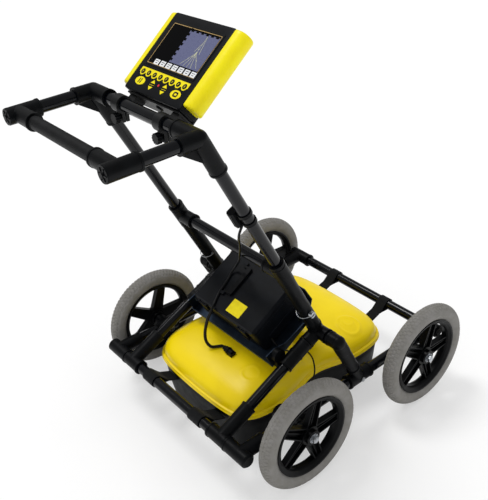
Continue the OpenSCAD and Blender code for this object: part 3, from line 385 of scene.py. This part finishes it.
def makeWebbing():
    # woven polyester webbing: flat ribs across it at 1.6 mm and a two-up weave, read from the piece's own map in metres
    material, tree, shader, _ = newMaterial("wovenWebbingBlack")
    place = addNode(tree, "ShaderNodeUVMap", {"uv_map": "pieceMap"}).outputs[0]
    weave = addNode(tree, "ShaderNodeTexWave", {"bands_direction": "X"}, Vector=place, Scale=100.0, Distortion=0.4)
    cross = addNode(tree, "ShaderNodeTexWave", {"bands_direction": "Y"}, Vector=place, Scale=125.0, Distortion=0.3)
    both = addNode(tree, "ShaderNodeMath", {"operation": "MULTIPLY"}, k0=weave.outputs[1], k1=cross.outputs[1])
    colour = addNode(tree, "ShaderNodeMix", {"data_type": "RGBA"}, k0=both.outputs[0], k6=hexColour("#0b0c0d"), k7=hexColour("#1d1f22"))
    tree.links.new(colour.outputs[2], shader.inputs["Base Color"])
    bump = addNode(tree, "ShaderNodeBump", Strength=0.8, Distance=0.0004, Height=both.outputs[0])
    tree.links.new(bump.outputs[0], shader.inputs["Normal"])
    setShader(shader, Roughness=0.82, Specular_IOR_Level=0.2, Sheen_Weight=0.06, Sheen_Roughness=0.4)
    return material


def makeGlass(name, low, high, rough, coat, shine=0.2):
    # the display window: dark liquid-crystal panel under clear, coated glass
    material, tree, shader, place = newMaterial(name)
    tree.links.new(mottled(tree, place, low, high, 0.004, 6.0), shader.inputs["Base Color"])
    setShader(shader, Roughness=rough, Specular_IOR_Level=shine, Coat_Weight=coat, Coat_Roughness=0.04)
    return material


def makePlotPicture():
    # the plot on the screen: grey-blue with fine level-coloured noise, as a radar trace has between its echoes
    material, tree, shader, place = newMaterial("screenPlotBlueGrey")
    stretch = addNode(tree, "ShaderNodeMapping", k1=(0.0, 0.0, 0.0), Vector=place, Scale=(1.0, 3.0, 3.0))
    base = mottled(tree, stretch.outputs[0], "#565a7d", "#6d7192", 0.0025, 5.0)
    tree.links.new(base, shader.inputs["Base Color"])
    setShader(shader, Roughness=0.35, Specular_IOR_Level=0.2, Coat_Weight=0.1, Coat_Roughness=0.05)
    return material


shellYellow = makeShellYellow()
tyreGrey = makeTyreGrey()
webbingBlack = makeWebbing()
screenDark = makeGlass("coatedScreenGlass", "#000001", "#020203", 0.08, 0.0, 0.06)
plotPicture = makePlotPicture()
traceLine = makeGlass("screenTracePale", "#b9bb9a", "#cfd0ac", 0.35, 0.3)
# tan ring round the screen: a painted highlight of the bezel's raised edge
bezelHighlightTan = makeGlass("screenBezelHighlightTan", "#b3955c", "#c8aa72", 0.4, 0.1)
ledRed = makeGlass("epoxyLedRed", "#b01020", "#ff3a48", 0.25, 0.4)

# material for each of the record's slots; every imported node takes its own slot's
slotMaterials = {
    "tube": tubeBlack, "fitting": nylonBlack, "steel": zincSteel, "grip": gripRubber, "webbing": webbingBlack,
    "tray_sheet": traySheet, "case_shell": casePlastic, "battery_case": batteryPlastic, "tyre": tyreGrey, "rim": rimNylon,
    "housing": displayBlack, "cheek": cheekYellow, "screen_glass": screenDark, "key_membrane": membraneYellow,
    "bracket": bracketPaint, "shell": shellYellow, "tub": tubBlack, "board": circuitBoard, "cable": cordJacket}
nodeSlots = {part["node"]: part["material_slot"] for part in frame["record"]["subparts"]}
for nodeName, nodeObject in nodes.items():
    for place in nodeObject.material_slots:
        place.material = slotMaterials[nodeSlots[nodeName]]
print("materials: set on the packed nodes")

# ---- cords: routes in mm, as the model's own
caseOrigin = (0.0, -108.651, 347.357)
slopeDegrees = 30.0


def onLid(*points):
    return onSlope(points, caseOrigin, slopeDegrees).tolist()


dataCable = {
    "radius": 3.2,
    "above": [(182.7, -155.64, 731.97), (181.2, -152.62, 723.81), (173, -159, 692), (139, -132, 638), (94, -101, 577), (47, -66, 531), (2, -34, 490), (-34, -10, 456)],
    "onLid": onLid((-58, 131, 16), (-64.5, 113, 5.6), (-61, 93, 3.8), (-57.5, 73.7, 3.8), (-54.1, 48.9, 3.8), (-46.3, 24.8, 3.8), (-38.7, 6, 3.7)),
    "below": [(-36.4, -117.7, 338.1), (-38, -128, 321), (-43.5, -134, 293), (-45, -138.5, 266), (-39, -140, 245), (-26, -134.5, 232),
              (-14.5, -119.5, 231), (-6, -111.6, 233.3), (3.2, -111, 233.5)]}
odometerCable = {
    "radius": 2.2,
    "route": [(131, -41, 300), (147, -41, 290), (163, -23, 268), (166, 13, 246), (163, 47, 226), (176, 57, 216), (200, 49, 206),
              (226, 25, 190), (244, -21, 181), (247, -68, 177.5), (244, -91.3, 169.5)]}


def makeCord(name, path, radius, material, **facts):
    # a round jacket along the path, closed at both ends
    cord = gridPiece(name, tubeGrid(path, radius, 20), None, material, caps=(True, True), sharp=60)
    length = float(np.linalg.norm(np.diff(path, axis=0), axis=1).sum())
    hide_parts(facts["node"])
    return cord, length


def makeCableSleeve():
    # ribbed sleeve over the loop of the data cable: radius 4.5 with a rib each 3 mm
    route = np.array(dataCable["onLid"][-1:] + dataCable["below"])
    path = smoothCurve(route, 40)
    length = np.concatenate([[0], np.cumsum(np.linalg.norm(np.diff(path, axis=0), axis=1))])
    path = path[(length > 9) & (length < length[-1] - 3)]
    along = np.concatenate([[0], np.cumsum(np.linalg.norm(np.diff(path, axis=0), axis=1))])
    ends = np.clip(np.minimum(along, along[-1] - along) / 2.5, 0, 1)
    radius = 3.3 + (1.15 + 0.25 * np.cos(2 * math.pi * along / 3.0)) * np.sqrt(ends)
    sleeve = gridPiece("cableSleeve", tubeGrid(path, radius, 20), None, cordJacket, caps=(True, True), sharp=60)
    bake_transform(sleeve)
    print("cable sleeve", round(float(along[-1])), "mm")
    return sleeve


def makeCords():
    # the data cable is one jacket in three lengths, because it follows the lid where it lies on it
    route = dataCable["above"] + dataCable["onLid"] + dataCable["below"]
    dense = smoothCurve(route, 12)
    onTop = (len(dataCable["above"]) + 3) * 12
    loop = (len(dataCable["above"]) + len(dataCable["onLid"]) + 4) * 12
    lengths = [("dataCableUpper", dense[:onTop + 1], "frame", "case_lid_body", dense[onTop - 90], dense[onTop - 42], "hanging"),
               ("dataCableOnLid", dense[onTop:loop + 1], "case_lid_body", "frame", dense[onTop + 30], dense[loop - 12], "loose"),
               ("dataCableLoop", dense[loop:], "frame", "sensor", dense[loop + 4], dense[-14], "hanging")]
    for name, path, first, second, start, end, lay in lengths:
        cord, length = makeCord(name, path, dataCable["radius"], cordJacket, node="data_cable")
        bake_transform(cord)
        [makeCableSleeve()] if name == "dataCableLoop" else ()
        print("cord", name, round(length), "mm")
    path = smoothCurve(odometerCable["route"], 12)
    cord, length = makeCord("odometerCable", path, odometerCable["radius"], cordJacket, node="odometer_cable")
    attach(cord, "frame")
    print("cord odometerCable", round(length), "mm")


makeCords()

# ---- wheels
wheel = {"across": 349.5, "axles": (-118.5, 336.5), "height": 159.0, "crown": 23.0, "radius": 159.0, "rim": 117.0, "blocks": 84, "depth": 1.6}


def makeTyres():
    # section: angle a round the crown's circle, from bead to bead; column: turn t round the axle
    a = np.radians(np.concatenate([np.linspace(-120, -66, 9), np.linspace(-63, 63, 57), np.linspace(66, 120, 9)]))
    centre = wheel["radius"] - wheel["crown"]
    r, z = centre + wheel["crown"] * np.cos(a), wheel["crown"] * np.sin(a)
    beadR, beadZ = np.array([wheel["rim"] - 8.6, wheel["rim"] + 0.6, wheel["rim"] + 2.6]), np.array([12.5, 14.3, 15.6])
    r, z = np.concatenate([beadR, r, beadR[::-1]]), np.concatenate([-beadZ, z, beadZ[::-1]])
    turn = np.linspace(0, 2 * math.pi, wheel["blocks"] * 8, endpoint=False)
    across = np.concatenate([np.full(3, -2.2), a, np.full(3, 2.2)])[:, None]
    # tread: blocks cos(n t + shift of its row), cut by three grooves round the tyre and fading out at the shoulder
    row = np.floor((z[:, None] + 27) / 9)
    block = np.cos(wheel["blocks"] * turn[None, :] + math.pi * row + 1.2 * np.abs(across))
    cut = np.clip((-0.25 - block) * 3, 0, 1)
    groove = np.exp(-((np.abs((z[:, None] + 4.5) % 9 - 4.5)) / 0.7) ** 2)
    fade = np.clip((1.15 - np.abs(across)) * 6, 0, 1)
    lug = np.clip((np.abs(across) - 0.86) * 8, 0, 1) * np.clip((1.12 - np.abs(across)) * 10, 0, 1)
    low = wheel["depth"] * np.maximum(cut, groove * 0.9) * fade
    low = low * (1 - lug) + lug * 1.3 * np.clip((np.cos(wheel["blocks"] / 2 * turn[None, :]) - 0.1) * -3, 0, 1)
    grown = r[:, None] - low * np.cos(across)
    side = z[:, None] - low * np.sin(across)
    for name, right, axle in (("RearLeft", -1, 0), ("RearRight", 1, 0), ("FrontLeft", -1, 1), ("FrontRight", 1, 1)):
        grid = np.stack([right * (wheel["across"] + side), wheel["axles"][axle] + grown * np.cos(turn), wheel["height"] + grown * np.sin(turn)], -1)
        body = "wheel_" + name[:-4 if "Left" in name else -5].lower() + "_" + name[-4 if "Left" in name else -5:].lower()
        tyre = gridPiece("tyre" + name, grid, body, tyreGrey, wrapRows=True, sharp=38)
        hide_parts(body.replace("wheel", "tyre"))
    print("wheels: four treaded tyres")


makeTyres()

# ---- sensor
sensor = {"y": 64.0, "halfW": 222.0, "halfL": 291.0, "edge": 150.0, "lip": 15.0, "dome": 69.0,
          "rings": ((150, 236, 15, 5.5, 1.3), (160, 230, 33, 8, 2.2), (128, -118, 25, 7, 1.2))}


def sensorPlan(turn, inset):
    # squarish oval: r = ((|cos|/w)^7 + (|sin|/l)^7)^(-1/7), drawn in at its waist and bowed along its ends
    w, l = sensor["halfW"] - inset, sensor["halfL"] - inset
    r = ((np.abs(np.cos(turn)) / w) ** 7 + (np.abs(np.sin(turn)) / l) ** 7) ** (-1 / 7)
    y = r * np.sin(turn)
    return r * np.cos(turn) * (1 - 0.135 * np.exp(-y * y / 8100)), y * (1 - 0.05 * (np.abs(r * np.cos(turn)) / w) ** 2)


def makeSensor():
    turn = np.linspace(0, 2 * math.pi, 480, endpoint=False)
    # domes: height h (1 - q^3.2)^(1/2.2), lowered along the valley by 42 %, q from the middle to the edge
    q = 1 - np.linspace(1, 0.0, 110) ** 2.1
    q[0] = 0.002
    x, y = sensorPlan(turn, 6.5)
    gx, gy = q[:, None] * x, q[:, None] * y
    lift = sensor["dome"] * (1 - np.minimum(q[:, None], 1) ** 3.2) ** (1 / 2.2) * (1 - 0.42 * np.exp(-gy * gy / 900))
    # moulded rings round x, y: a ridge of height rise (1 + cos(pi d / w)) / 2, d from the circle, w its half width
    for x0, y0, radius, wide, rise in sensor["rings"]:
        away = np.abs(np.hypot(gx - x0, gy + sensor["y"] - y0) - radius)
        lift += rise * (1 + np.cos(math.pi * np.minimum(away / wide, 1))) / 2
    top = np.stack([gx, gy + sensor["y"], sensor["edge"] + sensor["lip"] + lift], -1)
    # skirt below the domes: a narrow step, a plain band and a rolled lip
    skirt = []
    for inset, z in ((6.0, 162.6), (5.2, 161.4), (3.4, 160.9), (1.4, 160.5), (0.3, 159.6), (-0.1, 158), (-0.4, 152.4), (-1.3, 151.8), (-1.9, 150.8),
                     (-1.9, 149.9), (-1.2, 149.3), (1.6, 149.3), (2.6, 150.5), (2.6, 158)):
        sx, sy = sensorPlan(turn, inset)
        skirt.append(np.stack([sx, sy + sensor["y"], np.full(len(turn), z)], -1))
    shell = gridPiece("sensorShell", np.concatenate([top, np.array(skirt)]), "sensor", shellYellow, caps=(True, False), sharp=50)
    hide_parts("sensor_shell")
    rows = []
    for inset, z in ((7.5, 156), (4.3, 156), (4.15, 149.6), (4.4, 140), (5.2, 139), (5.4, 134), (4.9, 133), (7.4, 112), (9.6, 84), (12.4, 56),
                     (15.5, 34), (17.6, 22), (20, 16.5), (24, 14.4), (30, 14.1), (120, 14.1)):
        sx, sy = sensorPlan(turn[::2], inset)
        rows.append(np.stack([sx, sy + sensor["y"], np.full(len(sx), float(z))], -1))
    tub = gridPiece("sensorTub", np.array(rows), "sensor", tubBlack, caps=(False, True), sharp=50)
    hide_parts("sensor_base")
    print("sensor: two-dome shell and tub")


makeSensor()

# ---- towing straps
straps = {"x": 108.0, "bars": ((451.0, 17.0, 346.0), (-291.0, 24.0, -218.6)), "barZ": 159.0, "endZ": 124.0, "loop": 17.4, "thick": 1.9}


def makeStraps():
    # one band for each strap: along the top to the crossbar, round it, and back underneath
    for k, (barY, half, endY) in enumerate(straps["bars"]):
        along = np.array([endY - barY, straps["endZ"] - straps["barZ"]])
        reach = np.linalg.norm(along)
        along /= reach
        over = np.array([-along[1], along[0]])
        lay = straps["thick"] / 2 + 0.1
        ends = [(reach, lay), (reach * 0.6, lay), (52, lay), (40, lay + 0.6)]
        round_ = np.radians(np.linspace(58, 302, 33))
        loop = [(straps["loop"] * math.cos(t), straps["loop"] * math.sin(t)) for t in round_]
        line = ends + loop + [(d, -o) for d, o in ends[::-1]]
        line = smoothCurve(np.array([(0, d, o) for d, o in line]), 4)[:, 1:]
        path = np.array([barY, straps["barZ"]]) + line[:, :1] * along + line[:, 1:] * over
        step = np.gradient(path, axis=0)
        step /= np.linalg.norm(step, axis=1)[:, None]
        normal = np.stack([-step[:, 1], step[:, 0]], 1)
        length = np.concatenate([[0], np.cumsum(np.linalg.norm(np.diff(path, axis=0), axis=1))])
        # section: a flat band with rounded selvedges, anticlockwise
        section = [(1, 0.2), (0.985, 0.42), (0.95, 0.5), (0.5, 0.5), (0, 0.5), (-0.5, 0.5), (-0.95, 0.5), (-0.985, 0.42), (-1, 0.2)]
        section = np.array(section + [(-a, -b) for a, b in section])
        for side, label in ((-1, "Left"), (1, "Right")):
            x = side * straps["x"] + section[None, :, 0] * half + np.zeros((len(path), 1))
            yz = path[:, None, :] + normal[:, None, :] * (section[None, :, 1] * straps["thick"])[..., None]
            uv = np.stack([np.broadcast_to(length[:, None], x.shape), section[None, :, 0] * half + np.zeros_like(x)], -1) * 0.001
            band = gridPiece(("frontStrap", "rearStrap")[k] + label, np.concatenate([x[..., None], yz], -1), "frame", webbingBlack,
                             caps=(True, True), sharp=50, uv=uv)
            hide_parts("tow_straps")
    print("straps: four webbing loops")


makeStraps()

# ---- display: drawn in its own frame, x across, s up the face, n off it
display = {"origin": (0.0, -188.3, 1052.5), "tilt": 38.65, "half": 109.1, "thick": 58.0, "ends": (-69.0, 143.5), "cheekEnds": (-57.0, 143.3), "cheek": 31.0, "cheekHalf": 24.6, "screen": (177.8, 111.8, 60.5), "glass": 0.6}
keyAcross = np.array([-79.7, -57, -34.2, -11.4, 11.4, 34.2, 57, 79.7])


def turned(shape):
    # faces outwards: turns a shape's faces over when its volume comes out negative
    points, quads, triangles = shape
    volume = faceVolume(points, quads) + (faceVolume(points, triangles) if len(triangles) else 0)
    return shape if volume > 0 else (points, quads[:, ::-1], triangles[:, ::-1])


def slabShape(outline, low, high):
    # a flat plate with that outline (convex), between two heights
    n = len(outline)
    middle = outline.mean(axis=0)
    points = np.vstack([np.column_stack([outline, np.full(n, low)]), np.column_stack([outline, np.full(n, high)]), [*middle, low], [*middle, high]])
    quads = gridFaces(2, n, False, True)
    i = np.arange(n)
    j = (i + 1) % n
    triangles = np.vstack([np.stack([i, np.full(n, 2 * n), j], 1)[:, ::-1], np.stack([i + n, np.full(n, 2 * n + 1), j + n], 1)])
    if np.sign(faceVolume(points, quads[:1])) != 0 and faceVolume(points, quads) * faceVolume(points, triangles) < 0:
        triangles = triangles[:, ::-1]
    return turned((points, quads, triangles))


def ringShape(outer, inner, low, high):
    # a flat frame between two outlines that have the same number of points
    rings = [np.column_stack([line, np.full(len(line), z)]) for line, z in ((outer, high), (inner, high), (inner, low), (outer, low))]
    return turned((np.vstack(rings), gridFaces(4, len(outer), True, True), np.zeros((0, 3), int)))


def barShape(x, s, length, width, degrees, low, high):
    c, d = math.cos(math.radians(degrees)), math.sin(math.radians(degrees))
    box = np.array([(-1, -1), (1, -1), (1, 1), (-1, 1)]) * (length / 2, width / 2)
    return slabShape(box @ np.array([(c, d), (-d, c)]) + (x, s), low, high)


def oval(x, s, a, b, steps=40):
    turn = np.linspace(0, 2 * math.pi, steps, endpoint=False)
    return np.column_stack([x + a * np.cos(turn), s + b * np.sin(turn)])


def faceShapes(name, shapes, material):
    # joins flat shapes drawn on the display's face into one piece
    points, quads, triangles, start = [], [], [], 0
    for p, q, t in shapes:
        points.append(p)
        quads.append(q + start)
        triangles.append(t + start)
        start += len(p)
    points = onSlope(np.vstack(points), display["origin"], display["tilt"])
    return makePiece(name, points, np.vstack(quads), np.vstack(triangles), "display", material, 30)


def makeHousing():
    # body of the display between its cheeks: rounded edges by a profile of inset and depth
    lo, hi = display["ends"]
    w, middle = 2 * display["half"] - 0.4, (lo + hi) / 2
    profile = [(80, -57.9), (8, -57.9), (6.4, -57.6), (6, -56.8), (5.6, -50.4), (0.6, -50), (0.1, -49.4), (0, -48.6), (0, -2.4), (0.4, -1.0), (1.4, -0.25),
               (2.6, 0.0), (16.2, 0.0)]
    outer = loftedBlock(w, hi - lo, 5.0, profile, 8) + (0, middle, 0)
    inner = [np.column_stack([roundedRectangle(187.4 - 2 * i, 121 - 2 * i, 1.2, 8) + (0, display["screen"][2]), np.full(32, z)])
             for i, z in ((0, 0.0), (0.1, 1.2), (0.5, 1.6), (4.3, 1.6), (4.6, 1.3), (4.7, -3.0))]
    grid = np.concatenate([outer, np.array(inner)])
    body = gridPiece("displayBody", onSlope(grid, display["origin"], display["tilt"]), "display", displayBlack, caps=(True, False), sharp=35)
    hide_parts("display_housing")
    # domed cap at the lower edge
    turn = np.linspace(0, 2 * math.pi, 40, endpoint=False)
    rings = [(9, -69.5), (9, -76), (8.6, -77), (7.4, -78.2), (5, -78.9), (2, -79)]
    cap = np.array([np.column_stack([10 + r * np.cos(turn), np.full(40, s), -30 + r * np.sin(turn)]) for r, s in rings])
    cap = gridPiece("displayCap", onSlope(cap, display["origin"], display["tilt"]), "display", nylonBlack, caps=(True, True), sharp=40)
    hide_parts("display_housing")


def makeCheeks():
    # half-round sides: x = w |cos a|^0.8, n = h |sin a|^0.9, straight from end to end, with edges rounded over 5 mm
    lo, hi = display["cheekEnds"]
    s = np.concatenate([[lo + 0.3, lo + 0.4, lo + 1.2, lo + 2.6, lo + 5], np.linspace(lo + 10, hi - 10, 30), [hi - 5, hi - 2.6, hi - 1.2, hi - 0.4, hi - 0.3]])
    end = np.clip(np.minimum(s - lo, hi - s) / 5, 0, 1)
    drop = 5 * (1 - np.sqrt(np.clip(1 - (1 - end) ** 2, 0, 1)))
    drop[0] = drop[-1] = 5
    a = np.linspace(-math.pi / 2, math.pi / 2, 33)
    across = np.concatenate([np.abs(np.cos(a)) ** 0.8, [0, 0]])
    off = np.concatenate([np.sign(np.sin(a)) * np.abs(np.sin(a)) ** 0.9, [0.5, -0.5]])
    for side, label in ((-1, "Left"), (1, "Right")):
        x = side * (display["half"] + (display["cheek"] - drop[:, None]) * across)
        grid = np.stack([x, np.broadcast_to(s[:, None], x.shape), -0.4 - display["cheekHalf"] + (display["cheekHalf"] - drop[:, None]) * off], -1)
        cheek = gridPiece("displayCheek" + label, onSlope(grid, display["origin"], display["tilt"]), "display", cheekYellow,
                          caps=(True, True), sharp=40)
        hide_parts("display_grips")


def makeScreenPicture():
    g = display["glass"]
    # plot with notches for its scale along the left and the upper edge
    faceShapes("screenPlot", [slabShape(np.array([(-20, 22.5), (86, 22.5), (86, 110), (-20, 110)]), g, g + 0.12)], plotPicture)
    notches = [barShape(-18, 112 - 13.6 * k, 8, 6.5, 0, g, g + 0.2) for k in range(7)]
    notches += [barShape(-12 + 17.7 * k, 109, 9.5, 4.5, 0, g, g + 0.2) for k in range(6)]
    faceShapes("screenScale", notches, screenDark)
    # echoes: straight branches that spread downwards from two points on one upright line, each in bright short bars
    bars = [barShape(45, 67, 86, 0.9, 90, g, g + 0.18)]
    for x, top, across, low in ((45, 107, 11, 60), (45, 62, 30, 28), (45, 62, -27, 26), (45, 62, 13, 24), (45, 62, -14, 24), (45, 90, -9, 64)):
        run, length = math.degrees(math.atan2(low - top, across)), math.hypot(across, top - low)
        bars.append(barShape(x + across / 2, (top + low) / 2, length, 0.9, run, g, g + 0.18))
    for x, y, wide in ((45, 62, 3.4), (45, 55, 2.4), (45, 72, 2.0), (50, 52, 1.8), (40, 51, 1.8), (45, 84, 1.6), (62, 45, 1.6), (32, 45, 1.6)):
        bars.append(barShape(x, y, wide * 1.6, wide, 70, g, g + 0.2))
    faceShapes("screenEchoes", bars, traceLine)
    # boxes above the keys, each with two short marks in place of words
    faceShapes("screenBoxes", [slabShape(roundedRectangle(17.5, 13.5, 0.8, 3) + (x, 12.8), g, g + 0.16) for x in keyAcross[1:]], printWhite)
    marks = [barShape(x, 12.8 + d, 11 - 3 * (d < 0), 1.5, 0, g, g + 0.24) for x in keyAcross[1:] for d in (2.6, -2.2)]
    marks += [barShape(-79.7, 14.5, 9, 1.1, 0, g, g + 0.1)]
    faceShapes("screenBoxMarks", marks, printBlack)
    # painted highlight: a tan ring along the bezel's raised edge round the screen
    bezelHighlightRing = ringShape(roundedRectangle(177.2, 111.2, 0.8, 3) + (0, 60.5), roundedRectangle(174.2, 108.2, 0.6, 3) + (0, 60.5), g, g + 0.1)
    faceShapes("screenBezelHighlight", [bezelHighlightRing], bezelHighlightTan)


def makeKeys():
    # membrane: scalloped strip, eight round keys, two oval keys and two pairs of arrows
    turn = np.linspace(0, 2 * math.pi, 40, endpoint=False)
    strip = [slabShape(np.array([(-91.5, -21.5), (91.5, -21.5), (91.5, -7.6), (-91.5, -7.6)]), 0.05, 0.55)]
    strip += [slabShape(oval(x, -18.5, 9.5, 9.5), 0.06, 0.6) for x in keyAcross]
    strip += [slabShape(oval(x, -42, 17.5, 10.5), 0.05, 0.65) for x in (-68.6, 68.6)]
    for x in (-22.9, 22.9):
        strip.append(slabShape(np.array([(x - 8, -37.6), (x + 8, -37.6), (x, -29)]), 0.05, 0.6))
        strip.append(slabShape(np.array([(x - 8, -46.4), (x + 8, -46.4), (x, -55)])[::-1], 0.05, 0.6))
        strip.append(barShape(x, -42, 17, 0.7, 0, 0.05, 0.3))
    pad = faceShapes("keypadPrint", strip, membraneYellow)
    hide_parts("keypad")
    discs = [slabShape(oval(x, -18.3, 6.6, 6.6), 0.6, 0.95) for x in keyAcross]
    faceShapes("keyRings", discs, printBlack)
    # raised dome of each key: height 0.7 (1 - r^2) above the ring
    domes = []
    for x in keyAcross:
        r = np.array([4.3, 4.2, 3.4, 2.2, 1.0])
        rings = np.stack([np.column_stack([x + k * np.cos(turn), -18.3 + k * np.sin(turn), np.full(40, z)]) for k, z in zip(r, (0.9, 1.0, 1.2, 1.3, 1.34))])
        top = len(r) * 40
        cap = np.stack([np.arange(40) + top - 40, np.full(40, top), np.roll(np.arange(40) + top - 40, -1)], 1)
        base = np.stack([np.arange(40), np.full(40, top + 1), np.roll(np.arange(40), -1)], 1)[:, ::-1]
        domes.append(turned((np.vstack([rings.reshape(-1, 3), [x, -18.3, 1.35], [x, -18.3, 0.9]]), gridFaces(len(r), 40, False, True), np.vstack([cap, base]))))
    faceShapes("keyDomes", domes, printBlack)
    # each round key has one plain stroke, upright or slanted
    faceShapes("keyStrokes", [barShape(x, -18.3, 5.0, 1.6, 90 if k % 2 else 65, 1.2, 1.46) for k, x in enumerate(keyAcross)], membraneYellow)
    strokes = [barShape(-68.6 + d, -42, 13, 3.0, 80, 0.6, 0.85) for d in (-3.4, 3.4)]
    strokes.append(ringShape(roundedRectangle(16, 12.5, 4, 5) + (68.6, -42), roundedRectangle(8, 5.4, 1.6, 5) + (68.6, -42), 0.6, 0.85))
    faceShapes("keyMarks", strokes, printBlack)
    faceShapes("statusLight", [slabShape(oval(0, -37.7, 3.0, 3.0), 0.1, 0.9)], ledRed)


makeHousing()
makeCheeks()
makeScreenPicture()
makeKeys()
print("display: cheeks, screen picture and keys")

# ---- case: a plain yellow label on its lid
case = {"label": (30.5, 37.0, 55.0, 42.0)}


def makeCaseLabel():
    x, s, w, h = case["label"]
    shape = slabShape(roundedRectangle(w, h, 2.5, 6) + (x, s), 0.02, 0.3)
    label = makePiece("caseLabel", onSlope(shape[0], caseOrigin, slopeDegrees), shape[1], shape[2], "case_lid_body", labelYellow)
    return label


makeCaseLabel()

# ---- tray under the case: folded sheet with cut corners, drawn on the slope, x across, s up, n off the floor
tray = {"origin": (0.0, -79.0, 251.2), "halfW": 176.0, "length": 216.0, "thick": 2.0, "cut": (136.0, 150.0)}


def makeTray():
    # each plate is a slab; the floor narrows towards its upper end, and the side walls end where it starts to narrow
    t, w, length = tray["thick"], tray["halfW"], tray["length"]
    cutX, cutS = tray["cut"]

    def plate(outline, low, high, turn=None):
        p, q, f = slabShape(np.array(outline, float), low, high)
        return turned((turn(p) if turn is not None else p, q, f))

    floorPlate = plate([(-w, 0), (w, 0), (w, cutS), (cutX, length), (-cutX, length), (-w, cutS)], 0, t)
    plates = [floorPlate]
    plates.append(plate([(-w, 0), (w, 0), (w, 20), (-w, 20)], -t, 0, lambda p: np.stack([p[:, 0], p[:, 2], p[:, 1]], 1)))
    plates.append(plate([(-cutX, 0), (cutX, 0), (cutX, 54), (-cutX, 54)], 0, t, lambda p: np.stack([p[:, 0], length - t + p[:, 2], p[:, 1]], 1)))
    for side in (-1, 1):
        outline = [(0, 0), (cutS, 0), (cutS, 13), (70, 22), (34, 46), (4, 50)]
        plates.append(plate(outline, 0, t, lambda p, side=side: np.stack([side * (w - t + p[:, 2]), p[:, 0], p[:, 1]], 1)))
    points, quads, triangles, start = [], [], [], 0
    for p, q, f in plates:
        points.append(p)
        quads.append(q + start)
        triangles.append(f + start)
        start += len(p)
    points = onSlope(np.vstack(points), tray["origin"], slopeDegrees)
    piece = makePiece("traySheet", points, np.vstack(quads), np.vstack(triangles), "frame", traySheet)
    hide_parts("battery_tray")


makeTray()
print("case: label and tray")

# ---- floor, light and world
floor = {"size": 14.0, "colour": "#ffffff"}


def makeFloor():
    mesh = bpy.data.meshes.new("studioFloor")
    h = floor["size"] / 2
    mesh.from_pydata([(-h, -h, 0), (h, -h, 0), (h, h, 0), (-h, h, 0)], [], [(0, 1, 2, 3)])
    material, tree, shader, place = newMaterial("paintedFloorWhite")
    tree.links.new(mottled(tree, place, floor["colour"], "#fdfdfd", 0.4), shader.inputs["Base Color"])
    setShader(shader, Roughness=0.9, Specular_IOR_Level=0.1)
    # for the camera alone the shadows are lifted by a share of plain white, as in a cut-out catalogue picture
    rays = addNode(tree, "ShaderNodeLightPath")
    share = addNode(tree, "ShaderNodeMath", {"operation": "MULTIPLY"}, k0=rays.outputs["Is Camera Ray"], k1=0.45)
    white = addNode(tree, "ShaderNodeEmission", Color=(1, 1, 1, 1), Strength=1.0)
    mix = addNode(tree, "ShaderNodeMixShader", k0=share.outputs[0], k1=shader.outputs[0], k2=white.outputs[0])
    out = next(n for n in tree.nodes if n.bl_idname == "ShaderNodeOutputMaterial")
    tree.links.new(mix.outputs[0], out.inputs["Surface"])
    mesh.materials.append(material)
    obj = bpy.data.objects.new("studioFloor", mesh)
    obj.location = (0, 0, -0.001)
    scene.collection.objects.link(obj)


def makeSun(name, towards, strength, spread):
    # a wide sun: as large over the cart as a bank of softboxes, and even over the whole floor
    data = bpy.data.lights.new(name, "SUN")
    data.energy, data.angle = strength, math.radians(spread)
    obj = bpy.data.objects.new(name, data)
    obj.rotation_mode = "QUATERNION"
    obj.rotation_quaternion = Vector(towards).to_track_quat("Z", "Y")
    scene.collection.objects.link(obj)


def makeWorld():
    world = bpy.data.worlds.new("studioWorld")
    world.use_nodes = True
    tree = world.node_tree
    tree.nodes.clear()
    path = addNode(tree, "ShaderNodeLightPath")
    seen = addNode(tree, "ShaderNodeMath", {"operation": "MAXIMUM"}, k0=path.outputs["Is Camera Ray"], k1=path.outputs["Is Transmission Ray"])
    # mirrored in the cart, the walls of the studio are darker than its ceiling lamps
    level = addNode(tree, "ShaderNodeMapRange", Value=path.outputs["Is Glossy Ray"], To_Min=0.74, To_Max=0.34)
    lit = addNode(tree, "ShaderNodeBackground", Color=(1, 1, 1, 1), Strength=level.outputs[0])
    plain = addNode(tree, "ShaderNodeBackground", Color=(1, 1, 1, 1), Strength=1.0)
    mix = addNode(tree, "ShaderNodeMixShader", k0=seen.outputs[0], k1=lit.outputs[0], k2=plain.outputs[0])
    addNode(tree, "ShaderNodeOutputWorld", Surface=mix.outputs[0])
    scene.world = world


makeFloor()
makeSun("softSun", (-0.45, -0.1, 1.0), 1.15, 20)
makeWorld()
scene.view_settings.view_transform = "Standard"
print("stage: floor, a wide sun and a white world")
